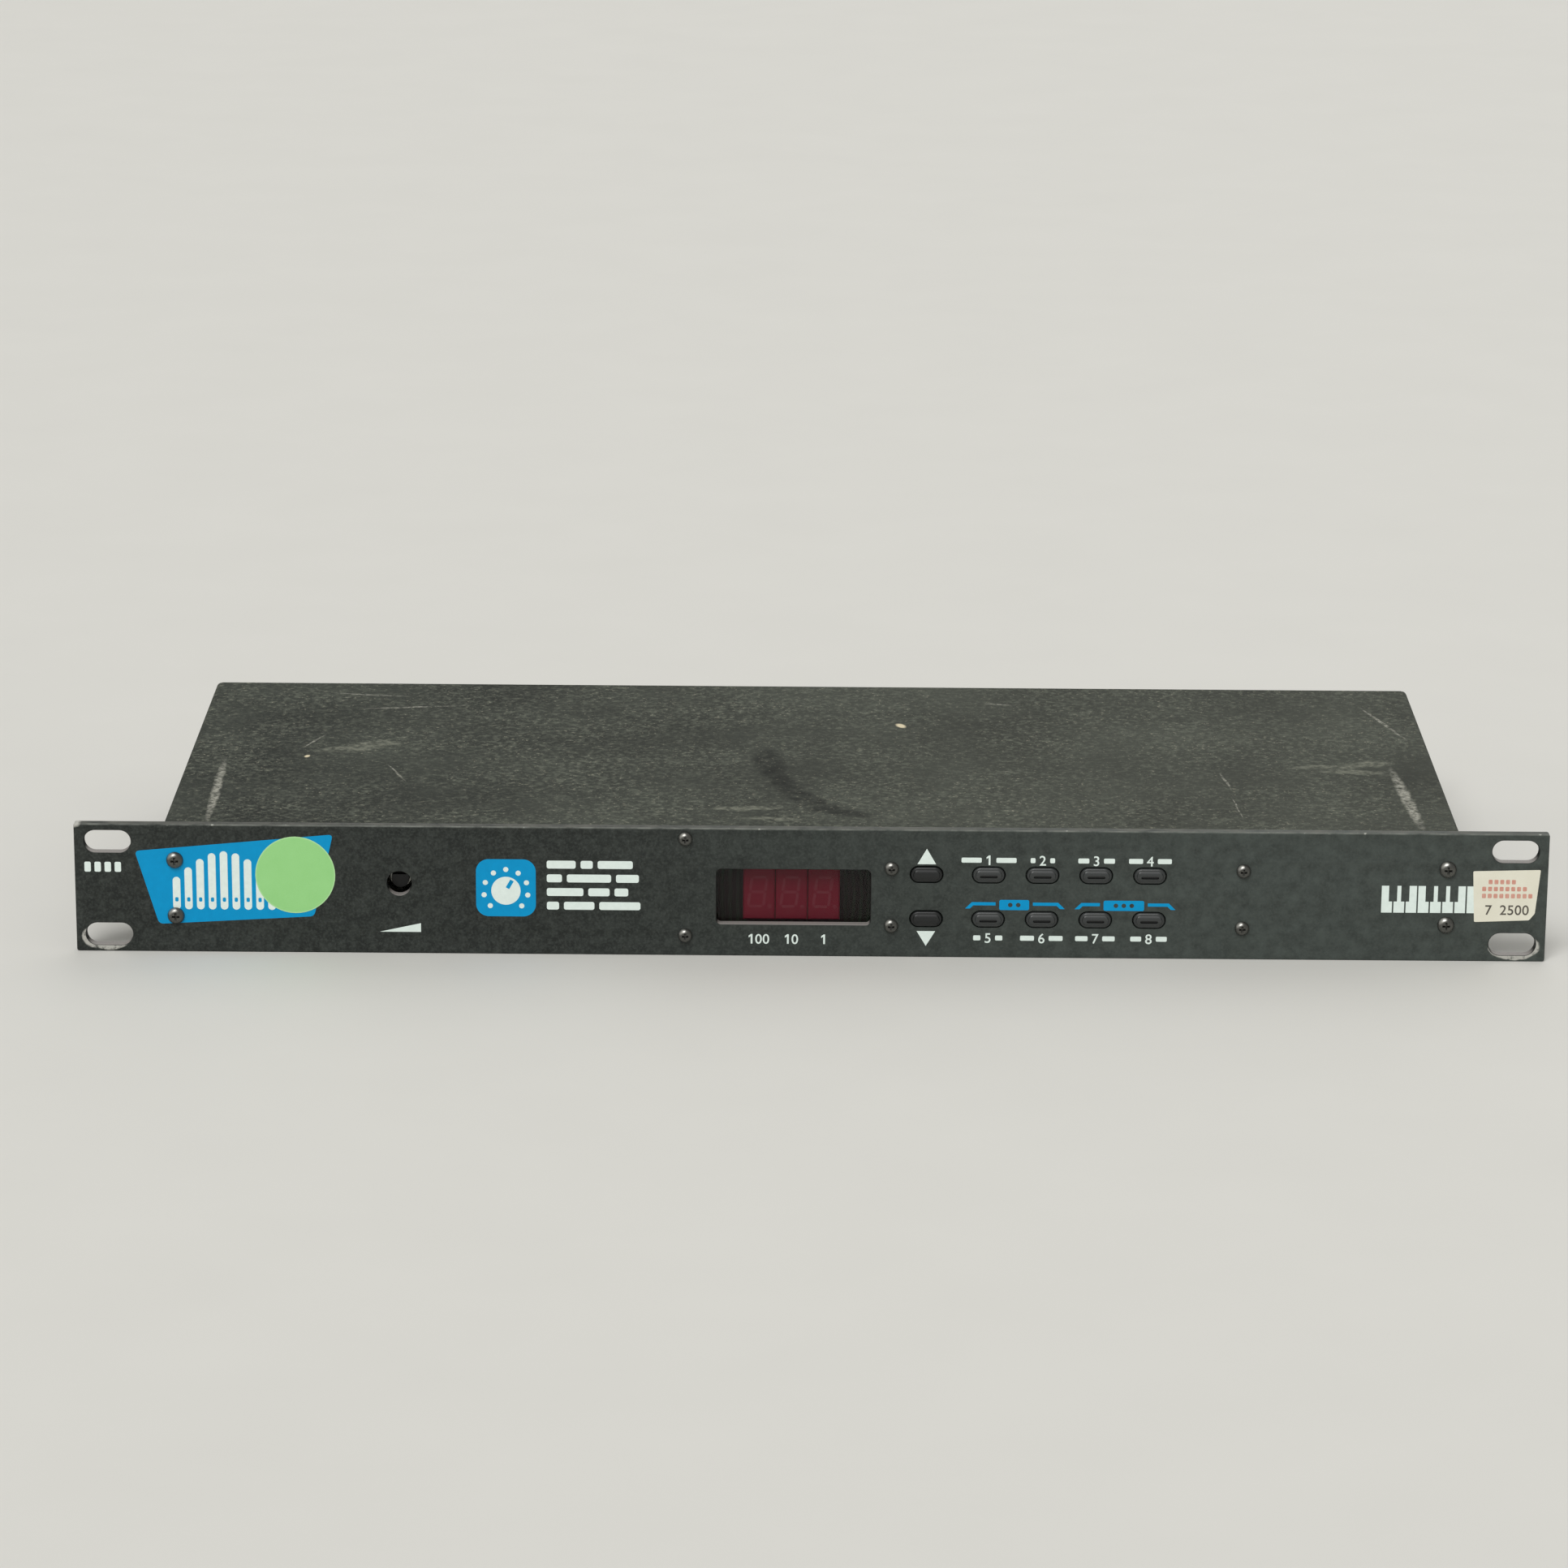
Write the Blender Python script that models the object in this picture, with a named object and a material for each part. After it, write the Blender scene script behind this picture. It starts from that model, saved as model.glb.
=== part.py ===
"""One-unit rack organ sound module, modelled as it comes apart on a bench.

A thick front panel with rack ears is screwed to the front tabs of a folded
steel tray.  A folded cover closes the tray.  Ten pill-shaped key caps slide in
the panel and press switches on a board that hangs behind it on spacers.  The
sockets stand on a main board and look out through the rear wall.

Build frame: X to the right, Y into the depth from the panel's front face, Z up
from the surface that the module stands on.
"""

import math

import bmesh
import bpy
from mathutils import Vector

MM = 0.001

# Fits shared by many pieces
SEAT_GAP = 0.3 * MM
SLIDE_GAP = 0.3 * MM
SCREW_HOLE_GAP = 0.3 * MM
FUSE_DEPTH = 0.4 * MM

# Front panel
PANEL_WIDTH = 482.6 * MM
PANEL_HEIGHT = 43.7 * MM
PANEL_THICKNESS = 3.2 * MM
PANEL_CORNER_RADIUS = 0.8 * MM
PANEL_EDGE_CHAMFER = 0.4 * MM
EAR_FACE_MARGIN = 1.0 * MM
RACK_SLOT_LENGTH = 15.4 * MM
RACK_SLOT_WIDTH = 7.5 * MM
RACK_SLOT_TO_EDGE = 10.9 * MM
RACK_SLOT_SPACING = 31.75 * MM

# Chassis outer sizes
CHASSIS_WIDTH = 424.8 * MM
CHASSIS_DEPTH = 177.8 * MM
COVER_DROP = 0.3 * MM

# Folded tray
TRAY_SHEET = 1.2 * MM
TRAY_BEND_RADIUS = 1.0 * MM
TRAY_LIP_HEIGHT = 4.2 * MM
TRAY_TAB_WIDTH = 15.0 * MM
TRAY_SIDE_HEIGHT = 30.0 * MM
TRAY_TOP_FLANGE = 9.0 * MM
TRAY_RELIEF = 1.5 * MM

# Folded cover
COVER_SHEET = 1.0 * MM
COVER_BEND_RADIUS = 0.8 * MM
COVER_SIDE_RISE = 0.5 * MM
COVER_LIP_HEIGHT = 10.0 * MM
COVER_RELIEF = 2.0 * MM
BEND_STEPS = 4
SMOOTH_ANGLE = math.radians(35.0)

# Machine screws that hold the panel and the cover; a side screw's inset is from the chassis
FRAME_SCREW_RADIUS = 1.45 * MM
FRAME_SCREW_HEAD_RADIUS = 2.9 * MM
FRAME_SCREW_HEAD_HEIGHT = 1.5 * MM
FRAME_SCREW_REACH = 1.5 * MM
SIDE_SCREW_INSET = 4.0 * MM
SIDE_SCREW_SPACING = 19.05 * MM
SIDE_SCREW_RISE = 0.1 * MM
COVER_SIDE_SCREW_BACK = 88.0 * MM
COVER_SIDE_SCREW_HEIGHT = 20.0 * MM
COVER_REAR_SCREW_INSET = 62.4 * MM
COVER_REAR_SCREW_DROP = 5.4 * MM

# Small screws that hold the front board's spacers; the crown's pairs are shares of a head's
# radius and height, and the cross recess's arms span a share of its width
BOARD_SCREW_RADIUS = 1.1 * MM
BOARD_SCREW_HEAD_RADIUS = 2.45 * MM
BOARD_SCREW_HEAD_HEIGHT = 1.4 * MM
BOARD_SCREW_REACH = 4.0 * MM
SCREW_CROWN = [(0.5, 1.0), (0.9, 0.68), (1.0, 0.0)]
CROSS_RECESS_SHARE = 0.42
CROSS_RECESS_ARM = 0.75 * MM
CROSS_RECESS_DEPTH = 0.8 * MM
SCREW_SIDES = 12
NUT_SIDES = 12
NUT_SMOOTH_ANGLE = math.radians(25.0)

# Front board and its spacers
FRONT_BOARD_SETBACK = 10.2 * MM
FRONT_BOARD_THICKNESS = 1.6 * MM
FRONT_BOARD_MARGIN = 4.6 * MM
FRONT_BOARD_TOP_GAP = 0.6 * MM
FRONT_BOARD_FLOOR_GAP = 2.0 * MM
SPACER_RADIUS = 2.0 * MM
SPACER_BORE_DEPTH = 7.0 * MM
LEFT_SPACER_X = -41.2 * MM
LEFT_SPACER_SPACING = 33.1 * MM
LEFT_SPACER_RISE = 1.6 * MM
MIDDLE_SPACER_X = 26.4 * MM
RIGHT_SPACER_X = 141.6 * MM
INNER_SPACER_SPACING = 19.6 * MM
INNER_SPACER_DROP = 1.3 * MM

# Display window, lens and digits
WINDOW_X = -5.7 * MM
WINDOW_DROP = 1.5 * MM
WINDOW_WIDTH = 50.6 * MM
WINDOW_HEIGHT = 18.9 * MM
WINDOW_CORNER_RADIUS = 1.6 * MM
LENS_OVERLAP = 2.8 * MM
LENS_THICKNESS = 1.8 * MM
DIGIT_COUNT = 3
DIGIT_WIDTH = 10.4 * MM
DIGIT_HEIGHT = 19.05 * MM
DIGIT_CHAMFER = 0.4 * MM
DIGITS_X = -6.4 * MM

# Key caps
KEY_OPENING_LENGTH = 11.0 * MM
KEY_OPENING_HEIGHT = 5.8 * MM
KEY_PROUD = 1.1 * MM
KEY_EDGE_ROUND = 0.8 * MM
KEY_FLANGE_OVERLAP = 0.9 * MM
KEY_FLANGE_THICKNESS = 1.0 * MM
KEY_STEM_RADIUS = 1.5 * MM
KEY_TRAVEL = 0.6 * MM
KEY_SLIT_LENGTH = 5.8 * MM
KEY_SLIT_HEIGHT = 0.9 * MM
KEY_SLIT_DEPTH = 0.5 * MM
KEY_SLIT_DROP = 0.3 * MM
STEP_KEYS_X = 37.85 * MM
MODE_KEYS_X = 58.2 * MM
MODE_KEY_PITCH = 17.6 * MM
MODE_KEY_COLUMNS = 4
KEY_ROW_PITCH = 15.2 * MM
KEY_ROWS_DROP = 1.05 * MM
KEY_SIDES = 16
KEY_EDGE_STEPS = 3

# Switches under the key caps
SWITCH_SIZE = 6.0 * MM
SWITCH_HEIGHT = 3.6 * MM
SWITCH_COLLAR_RADIUS = 2.3 * MM
SWITCH_COLLAR_HEIGHT = 1.0 * MM
SWITCH_STEM_HOLE_DEPTH = 3.1 * MM
SWITCH_SIDES = 12

# Volume control
VOLUME_X = -134.95 * MM
VOLUME_RISE = 2.2 * MM
VOLUME_HOLE_RADIUS = 4.1 * MM
POT_BRACKET_WIDTH = 22.0 * MM
POT_BRACKET_FOOT = 13.0 * MM
POT_BRACKET_TOP_MARGIN = 12.0 * MM
POT_BODY_RADIUS = 8.25 * MM
POT_BODY_DEPTH = 9.0 * MM
POT_BUSH_RADIUS = 3.4 * MM
POT_BUSH_REACH = 6.0 * MM
POT_BUSH_HOLE_GAP = 0.3 * MM
POT_NUT_WIDTH = 10.0 * MM
POT_NUT_THICKNESS = 2.0 * MM
POT_SHAFT_RADIUS = 2.9 * MM
POT_SHAFT_GAP = 0.1 * MM
POT_SHAFT_TIP_REACH = 2.2 * MM
POT_SHAFT_ENGAGEMENT = 5.0 * MM
POT_SHAFT_FLAT_DEPTH = 1.4 * MM
POT_SHAFT_FLAT_LENGTH = 4.0 * MM
ROUND_SIDES = 16

# Main board: an inset is from its right edge, unless it says left
MAIN_BOARD_WIDTH = 305.0 * MM
MAIN_BOARD_SIDE_GAP = 9.9 * MM
MAIN_BOARD_DEPTH = 102.0 * MM
MAIN_BOARD_THICKNESS = 1.6 * MM
MAIN_BOARD_REAR_GAP = 0.8 * MM
STANDOFF_HEIGHT = 5.0 * MM
STANDOFF_RADIUS = 3.0 * MM
STANDOFF_INSET = 6.0 * MM
STANDOFF_COLUMNS = 3
CHIP_THICKNESS = 3.6 * MM
PROCESSOR_SIZE = 24.0 * MM
MEMORY_LENGTH = 36.0 * MM
MEMORY_WIDTH = 15.0 * MM
CONVERTER_LENGTH = 20.0 * MM
CONVERTER_WIDTH = 10.0 * MM
LEFT_CHIPS_LEFT_INSET = 70.0 * MM
RIGHT_CHIPS_LEFT_INSET = 108.0 * MM
FRONT_CHIPS_SETBACK = 26.0 * MM
REAR_CHIPS_SETBACK = 58.0 * MM
FILTER_CAN_COUNT = 2
FILTER_CAN_RADIUS = 8.0 * MM
FILTER_CAN_HEIGHT = 25.0 * MM
FILTER_CAN_INSET = 80.0 * MM
FILTER_CAN_PITCH = 20.0 * MM
FILTER_CAN_FORWARD = 45.0 * MM
HEADER_HEIGHT = 6.0 * MM

# Heat sink and regulator
HEAT_SINK_INSET = 35.0 * MM
HEAT_SINK_FORWARD = 45.0 * MM
HEAT_SINK_WIDTH = 34.0 * MM
HEAT_SINK_DEPTH = 16.0 * MM
HEAT_SINK_HEIGHT = 24.0 * MM
HEAT_SINK_BASE = 3.0 * MM
HEAT_SINK_FIN = 1.6 * MM
HEAT_SINK_FINS = 7

# Five-pin round sockets on the rear wall
DIN_COUNT = 3
DIN_LAST_INSET = 140.0 * MM
DIN_PITCH = 25.0 * MM
DIN_HEIGHT = 9.7 * MM
DIN_BODY_WIDTH = 19.8 * MM
DIN_BODY_DEPTH = 13.0 * MM
DIN_NOSE_RADIUS = 7.5 * MM
DIN_SLOT_OUTER_RADIUS = 6.7 * MM
DIN_SLOT_INNER_RADIUS = 5.0 * MM
DIN_SLOT_DEPTH = 7.0 * MM
DIN_PIN_CIRCLE_RADIUS = 3.3 * MM
DIN_PIN_RADIUS = 0.75 * MM
DIN_PIN_DEPTH = 6.0 * MM
DIN_PIN_COUNT = 5
DIN_PIN_ARC = math.radians(180.0)
DIN_SIDES = 20

# Quarter-inch output jacks
JACK_RIGHT_LEFT_INSET = 17.0 * MM
JACK_PITCH = 28.0 * MM
JACK_HEIGHT = 9.7 * MM
JACK_BODY_WIDTH = 16.0 * MM
JACK_BODY_DEPTH = 26.0 * MM
JACK_BUSH_RADIUS = 4.7 * MM
JACK_BUSH_REACH = 5.5 * MM
JACK_BORE_RADIUS = 3.25 * MM
JACK_BORE_DEPTH = 30.0 * MM
JACK_NUT_WIDTH = 13.0 * MM
JACK_NUT_THICKNESS = 2.4 * MM
JACK_SIDES = 16

# Low-voltage power inlet
INLET_INSET = 14.0 * MM
INLET_HEIGHT = 6.5 * MM
INLET_BODY_WIDTH = 9.4 * MM
INLET_BODY_DEPTH = 13.5 * MM
INLET_NOSE_RADIUS = 4.0 * MM
INLET_BORE_RADIUS = 3.1 * MM
INLET_PIN_RADIUS = 1.05 * MM
INLET_BORE_DEPTH = 9.0 * MM
INLET_PIN_SETBACK = 0.8 * MM

# Rear power switch
POWER_INSET = 40.0 * MM
POWER_RISE = 19.6 * MM
POWER_BODY_WIDTH = 12.6 * MM
POWER_BODY_HEIGHT = 18.8 * MM
POWER_BODY_DEPTH = 15.0 * MM
POWER_BEZEL_BORDER = 1.2 * MM
POWER_BEZEL_THICKNESS = 1.8 * MM
POWER_WALL = 1.2 * MM
POWER_CAVITY_DEPTH = 11.0 * MM
ROCKER_PIVOT_DEPTH = 4.4 * MM
ROCKER_HALF_ANGLE = math.radians(9.0)
ROCKER_FACE_REACH = 5.2 * MM
ROCKER_DISH = 0.9 * MM
ROCKER_LIP = 0.9 * MM
ROCKER_HALF_HEIGHT = 6.7 * MM
ROCKER_HUB_RADIUS = 2.6 * MM
ROCKER_HUB_SPREAD = math.radians(30.0)
ROCKER_HUB_STEPS = 4
ROCKER_SIDE_GAP = 0.3 * MM
ROCKER_PIN_RADIUS = 1.0 * MM
ROCKER_PIN_LENGTH = 0.7 * MM
WALL_CUT_GAP = 0.3 * MM

# Ribbon cable between the two boards
RIBBON_INSET = 125.0 * MM
RIBBON_WIDTH = 30.0 * MM
RIBBON_THICKNESS = 0.9 * MM
RIBBON_PLUG_LENGTH = 34.0 * MM
RIBBON_PLUG_DEPTH = 6.0 * MM
RIBBON_PLUG_HEIGHT = 6.5 * MM
RIBBON_HEADER_RISE = 22.0 * MM
RIBBON_STEPS = 12
RIBBON_MAIN_SETBACK = 8.0 * MM
RIBBON_START_SHARE = 0.5
RIBBON_END_SHARE = 0.25

# Lead between the volume control and the main board
LEAD_RADIUS = 1.3 * MM
LEAD_STEPS = 22
LEAD_MAIN_INSET = 7.0 * MM
LEAD_START_SHARE = 0.6
LEAD_END_SHARE = 0.45
LEAD_BEVEL_STEPS = 2

# Places worked out from the sizes above
PANEL_MID = PANEL_HEIGHT / 2
PANEL_BACK = PANEL_THICKNESS
BEHIND_PANEL = PANEL_BACK + SEAT_GAP
COVER_TOP = PANEL_HEIGHT - COVER_DROP
COVER_UNDERSIDE = COVER_TOP - COVER_SHEET
COVER_HALF = CHASSIS_WIDTH / 2
TRAY_HALF = COVER_HALF - COVER_SHEET - SEAT_GAP
TRAY_TOP = COVER_UNDERSIDE - SEAT_GAP
TRAY_WALL_OUTER = CHASSIS_DEPTH - COVER_SHEET - SEAT_GAP
TRAY_WALL_INNER = TRAY_WALL_OUTER - TRAY_SHEET
TAB_BACK = BEHIND_PANEL + TRAY_SHEET
BOARD_FRONT = PANEL_BACK + FRONT_BOARD_SETBACK
BOARD_BACK = BOARD_FRONT + FRONT_BOARD_THICKNESS
LENS_BACK = BEHIND_PANEL + LENS_THICKNESS
MAIN_BOARD_RIGHT = TRAY_HALF - TRAY_SHEET - MAIN_BOARD_SIDE_GAP
MAIN_BOARD_LEFT = MAIN_BOARD_RIGHT - MAIN_BOARD_WIDTH
MAIN_BOARD_BOTTOM = TRAY_SHEET + STANDOFF_HEIGHT + SEAT_GAP
MAIN_BOARD_TOP = MAIN_BOARD_BOTTOM + MAIN_BOARD_THICKNESS
MAIN_BOARD_BACK = TRAY_WALL_INNER - MAIN_BOARD_REAR_GAP
MAIN_BOARD_FRONT = MAIN_BOARD_BACK - MAIN_BOARD_DEPTH
COMPONENT_BASE = MAIN_BOARD_TOP + SEAT_GAP
INLET_X = MAIN_BOARD_RIGHT - INLET_INSET
POWER_X = MAIN_BOARD_RIGHT - POWER_INSET
HEAT_SINK_X = MAIN_BOARD_RIGHT - HEAT_SINK_INSET
RIBBON_X = MAIN_BOARD_RIGHT - RIBBON_INSET
SIDE_SCREW_X = COVER_HALF - SIDE_SCREW_INSET
VOLUME_Z = PANEL_MID + VOLUME_RISE
WINDOW_Z = PANEL_MID - WINDOW_DROP
KEY_ROWS_Z = PANEL_MID - KEY_ROWS_DROP
JACK_RIM = TRAY_WALL_OUTER + JACK_BUSH_REACH
FRONT_REACH = SEAT_GAP + FRAME_SCREW_HEAD_HEIGHT
DEPTH_CENTRE = (JACK_RIM - FRONT_REACH) / 2


def clear_scene():
    for old in list(bpy.data.objects):
        bpy.data.objects.remove(old, do_unlink=True)


def finish(name, colour, roughness, metallic=0.0):
    """A Principled material for one kind of surface."""
    made = bpy.data.materials.get(name)
    if made is None:
        made = bpy.data.materials.new(name)
        made.use_nodes = True
        shader = made.node_tree.nodes["Principled BSDF"]
        shader.inputs["Base Color"].default_value = (*colour, 1.0)
        shader.inputs["Roughness"].default_value = roughness
        shader.inputs["Metallic"].default_value = metallic
        made.diffuse_color = (*colour, 1.0)
    return made


def black_paint():
    return finish("black_paint", (0.028, 0.028, 0.026), 0.55)


def dusty_paint():
    return finish("dusty_paint", (0.06, 0.06, 0.052), 0.6)


def zinc_steel():
    return finish("zinc_steel", (0.5, 0.5, 0.48), 0.4, 1.0)


def black_screw():
    return finish("black_screw", (0.05, 0.05, 0.05), 0.35, 0.8)


def smoked_acrylic():
    return finish("smoked_acrylic", (0.05, 0.01, 0.015), 0.08)


def digit_resin():
    return finish("digit_resin", (0.2, 0.01, 0.03), 0.4)


def black_plastic():
    return finish("black_plastic", (0.015, 0.015, 0.015), 0.5)


def grey_plastic():
    return finish("grey_plastic", (0.08, 0.08, 0.08), 0.5)


def green_board():
    return finish("green_board", (0.02, 0.12, 0.05), 0.45)


def nickel():
    return finish("nickel", (0.55, 0.54, 0.5), 0.25, 1.0)


def black_aluminium():
    return finish("black_aluminium", (0.03, 0.03, 0.03), 0.45, 0.6)


def ribbon_grey():
    return finish("ribbon_grey", (0.3, 0.3, 0.3), 0.6)


# Outlines are lists of (u, v) pairs that run anticlockwise


def circle(radius, sides):
    """Starts at minus 45 degrees, as a rectangle's first corner does."""
    turn = 2 * math.pi / sides
    angles = [turn * i - math.pi / 4 for i in range(sides)]
    return [(radius * math.cos(a), radius * math.sin(a)) for a in angles]


def rectangle(width, height, sides=4):
    """Four corners, with the sides split so that the outline has that many points."""
    corners = [(1, -1), (1, 1), (-1, 1), (-1, -1)]
    per_side = sides // 4
    points = []
    for here, (u, v) in enumerate(corners):
        next_u, next_v = corners[(here + 1) % 4]
        for step in range(per_side):
            share = step / per_side
            across = u + (next_u - u) * share
            up = v + (next_v - v) * share
            points.append((across * width / 2, up * height / 2))
    return points


def rounded_rectangle(width, height, radius, steps=3):
    points = []
    for quarter, (u, v) in enumerate([(1, -1), (1, 1), (-1, 1), (-1, -1)]):
        start = math.pi / 2 * (quarter - 1)
        for step in range(steps + 1):
            angle = start + math.pi / 2 * step / steps
            across = u * (width / 2 - radius) + radius * math.cos(angle)
            up = v * (height / 2 - radius) + radius * math.sin(angle)
            points.append((across, up))
    return points


def obround(length, height, sides=KEY_SIDES):
    """A slot with round ends, whose straight sides lie along u."""
    radius = height / 2
    reach = length / 2 - radius
    half = sides // 2
    points = []
    for end in (1, -1):
        start = -math.pi / 2 if end > 0 else math.pi / 2
        for step in range(half):
            angle = start + math.pi * step / (half - 1)
            points.append((end * reach + radius * math.cos(angle), radius * math.sin(angle)))
    return points


def hexagon(across_flats, sides):
    """Corners and middles of the flats, to match a round bore of as many sides."""
    corner = across_flats / math.sqrt(3)
    points = []
    for i in range(sides):
        angle = 2 * math.pi * i / sides - math.pi / 4
        turn = (angle + math.pi / 12) % (math.pi / 3) - math.pi / 6
        distance = across_flats / 2 / math.cos(turn)
        points.append((min(distance, corner) * math.cos(angle), min(distance, corner) * math.sin(angle)))
    return points


def moved(outline, u, v):
    return [(a + u, b + v) for a, b in outline]


def arc(radius, start, end, steps):
    angles = [start + (end - start) * i / steps for i in range(steps + 1)]
    return [(radius * math.cos(a), radius * math.sin(a)) for a in angles]


def folded_profile(corners, sheet, inner_radius):
    """The outline of a bent sheet whose middle line runs through the corners."""
    radius = inner_radius + sheet / 2
    line = [Vector(corner) for corner in corners]
    stations = [(line[0], (line[1] - line[0]).normalized())]
    for before, corner, after in zip(line, line[1:], line[2:]):
        arriving = (corner - before).normalized()
        leaving = (after - corner).normalized()
        turn = arriving.angle_signed(leaving)
        side = -1 if turn > 0 else 1
        normal = Vector((-arriving.y, arriving.x)) * side
        start = corner - arriving * radius * math.tan(abs(turn) / 2)
        centre = start + normal * radius
        for step in range(BEND_STEPS + 1):
            angle = side * abs(turn) * step / BEND_STEPS
            spoke = Vector(
                (
                    -normal.x * math.cos(angle) + normal.y * math.sin(angle),
                    -normal.x * math.sin(angle) - normal.y * math.cos(angle),
                )
            )
            heading = Vector((-spoke.y, spoke.x)) * side
            stations.append((centre + spoke * radius, heading))
    stations.append((line[-1], (line[-1] - line[-2]).normalized()))
    left = [point + Vector((-heading.y, heading.x)) * sheet / 2 for point, heading in stations]
    right = [point - Vector((-heading.y, heading.x)) * sheet / 2 for point, heading in stations]
    return [tuple(point) for point in right + left[::-1]]


# Closed meshes


def close_mesh(bm, name, smooth_angle):
    bmesh.ops.recalc_face_normals(bm, faces=bm.faces)
    mesh = bpy.data.meshes.new(name)
    bm.to_mesh(mesh)
    bm.free()
    if smooth_angle:
        mesh.shade_smooth()
        mesh.set_sharp_from_angle(angle=smooth_angle)
    return mesh


def add_loft(bm, rings):
    """Walls between rings of as many points, with a cap on the first and on the last."""
    loops = [[bm.verts.new(point) for point in ring] for ring in rings]
    count = len(loops[0])
    for near, far in zip(loops, loops[1:]):
        for i in range(count):
            j = (i + 1) % count
            bm.faces.new((near[i], near[j], far[j], far[i]))
    bm.faces.new(loops[0][::-1])
    bm.faces.new(loops[-1])


def along_y(outline, y):
    return [Vector((u, y, v)) for u, v in outline]


def along_x(outline, x):
    return [Vector((x, u, v)) for u, v in outline]


def along_z(outline, z):
    return [Vector((u, v, z)) for u, v in outline]


def prisms(name, place, runs):
    """One mesh of separate prisms: each run is an outline with its two ends along the axis."""
    bm = bmesh.new()
    for outline, start, end in runs:
        add_loft(bm, [place(outline, start), place(outline, end)])
    return close_mesh(bm, name, None)


def lofted(name, place, stations, smooth_angle=SMOOTH_ANGLE):
    """A closed mesh through (outline, distance) stations along one axis."""
    bm = bmesh.new()
    add_loft(bm, [place(outline, distance) for outline, distance in stations])
    return close_mesh(bm, name, smooth_angle)


def box(name, low, high):
    span = (high[0] - low[0], high[1] - low[1])
    middle = ((high[0] + low[0]) / 2, (high[1] + low[1]) / 2)
    return prisms(name, along_z, [(moved(rectangle(*span), *middle), low[2], high[2])])


def add(name, mesh, surface, place=(0.0, 0.0, 0.0), carrier=None):
    """A named object under the module's origin, or under the empty that carries it."""
    made = bpy.data.objects.new(name, mesh)
    bpy.context.scene.collection.objects.link(made)
    made.location = place
    made.parent = carrier or bpy.data.objects["module_origin"]
    if surface and not mesh.materials:
        mesh.materials.append(surface)
    return made


def shape(target, operation, name, mesh):
    """Joins or cuts the target with a guide shape that stays editable."""
    guide = add(name, mesh, None, target.location, target.parent)
    guide.hide_render = True
    guide.display_type = "WIRE"
    step = target.modifiers.new(name, "BOOLEAN")
    step.operation = operation
    step.solver = "EXACT"
    step.object = guide
    return guide


def evaluated(target, name, smooth_angle=SMOOTH_ANGLE):
    """The target's mesh with its cuts made, to share among copies; target and guides go."""
    bpy.context.view_layer.update()
    seen = target.evaluated_get(bpy.context.evaluated_depsgraph_get())
    mesh = bpy.data.meshes.new_from_object(seen)
    mesh.name = name
    mesh.shade_smooth()
    mesh.set_sharp_from_angle(angle=smooth_angle)
    guides = [step.object for step in target.modifiers]
    for spent in [target, *guides]:
        bpy.data.objects.remove(spent, do_unlink=True)
    return mesh


def add_origin():
    """The module's base centre: everything hangs under this empty."""
    origin = bpy.data.objects.new("module_origin", None)
    bpy.context.scene.collection.objects.link(origin)
    origin.location = (0.0, -DEPTH_CENTRE, 0.0)


# Patterns that several pieces share


def rack_slots():
    reach = PANEL_WIDTH / 2 - RACK_SLOT_TO_EDGE
    half = RACK_SLOT_SPACING / 2
    return [(side * reach, PANEL_MID + row * half) for side in (-1, 1) for row in (-1, 1)]


def side_screws():
    middle = PANEL_MID + SIDE_SCREW_RISE
    half = SIDE_SCREW_SPACING / 2
    return [(side * SIDE_SCREW_X, middle + row * half) for side in (-1, 1) for row in (1, -1)]


def spacers():
    pairs = [
        (LEFT_SPACER_X, PANEL_MID + LEFT_SPACER_RISE, LEFT_SPACER_SPACING / 2),
        (MIDDLE_SPACER_X, PANEL_MID - INNER_SPACER_DROP, INNER_SPACER_SPACING / 2),
        (RIGHT_SPACER_X, PANEL_MID - INNER_SPACER_DROP, INNER_SPACER_SPACING / 2),
    ]
    return [(x, middle + row * half) for x, middle, half in pairs for row in (1, -1)]


def key_places():
    """Names and centres: two step keys, then two rows of mode keys."""
    upper = KEY_ROWS_Z + KEY_ROW_PITCH / 2
    lower = KEY_ROWS_Z - KEY_ROW_PITCH / 2
    places = [("up", STEP_KEYS_X, upper), ("down", STEP_KEYS_X, lower)]
    for row, height in enumerate((upper, lower)):
        for column in range(MODE_KEY_COLUMNS):
            number = row * MODE_KEY_COLUMNS + column + 1
            places.append((str(number), MODE_KEYS_X + column * MODE_KEY_PITCH, height))
    return places


def din_places():
    last = MAIN_BOARD_RIGHT - DIN_LAST_INSET
    return [last - i * DIN_PITCH for i in reversed(range(DIN_COUNT))]


def jack_places():
    """Seen from behind, the left output is on the left."""
    right = MAIN_BOARD_LEFT + JACK_RIGHT_LEFT_INSET
    return [("left", right + JACK_PITCH), ("right", right)]


def cover_rear_screws():
    half = COVER_HALF - COVER_REAR_SCREW_INSET
    return [(side * half, COVER_TOP - COVER_REAR_SCREW_DROP) for side in (-1, 1)]


# Front panel


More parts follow.
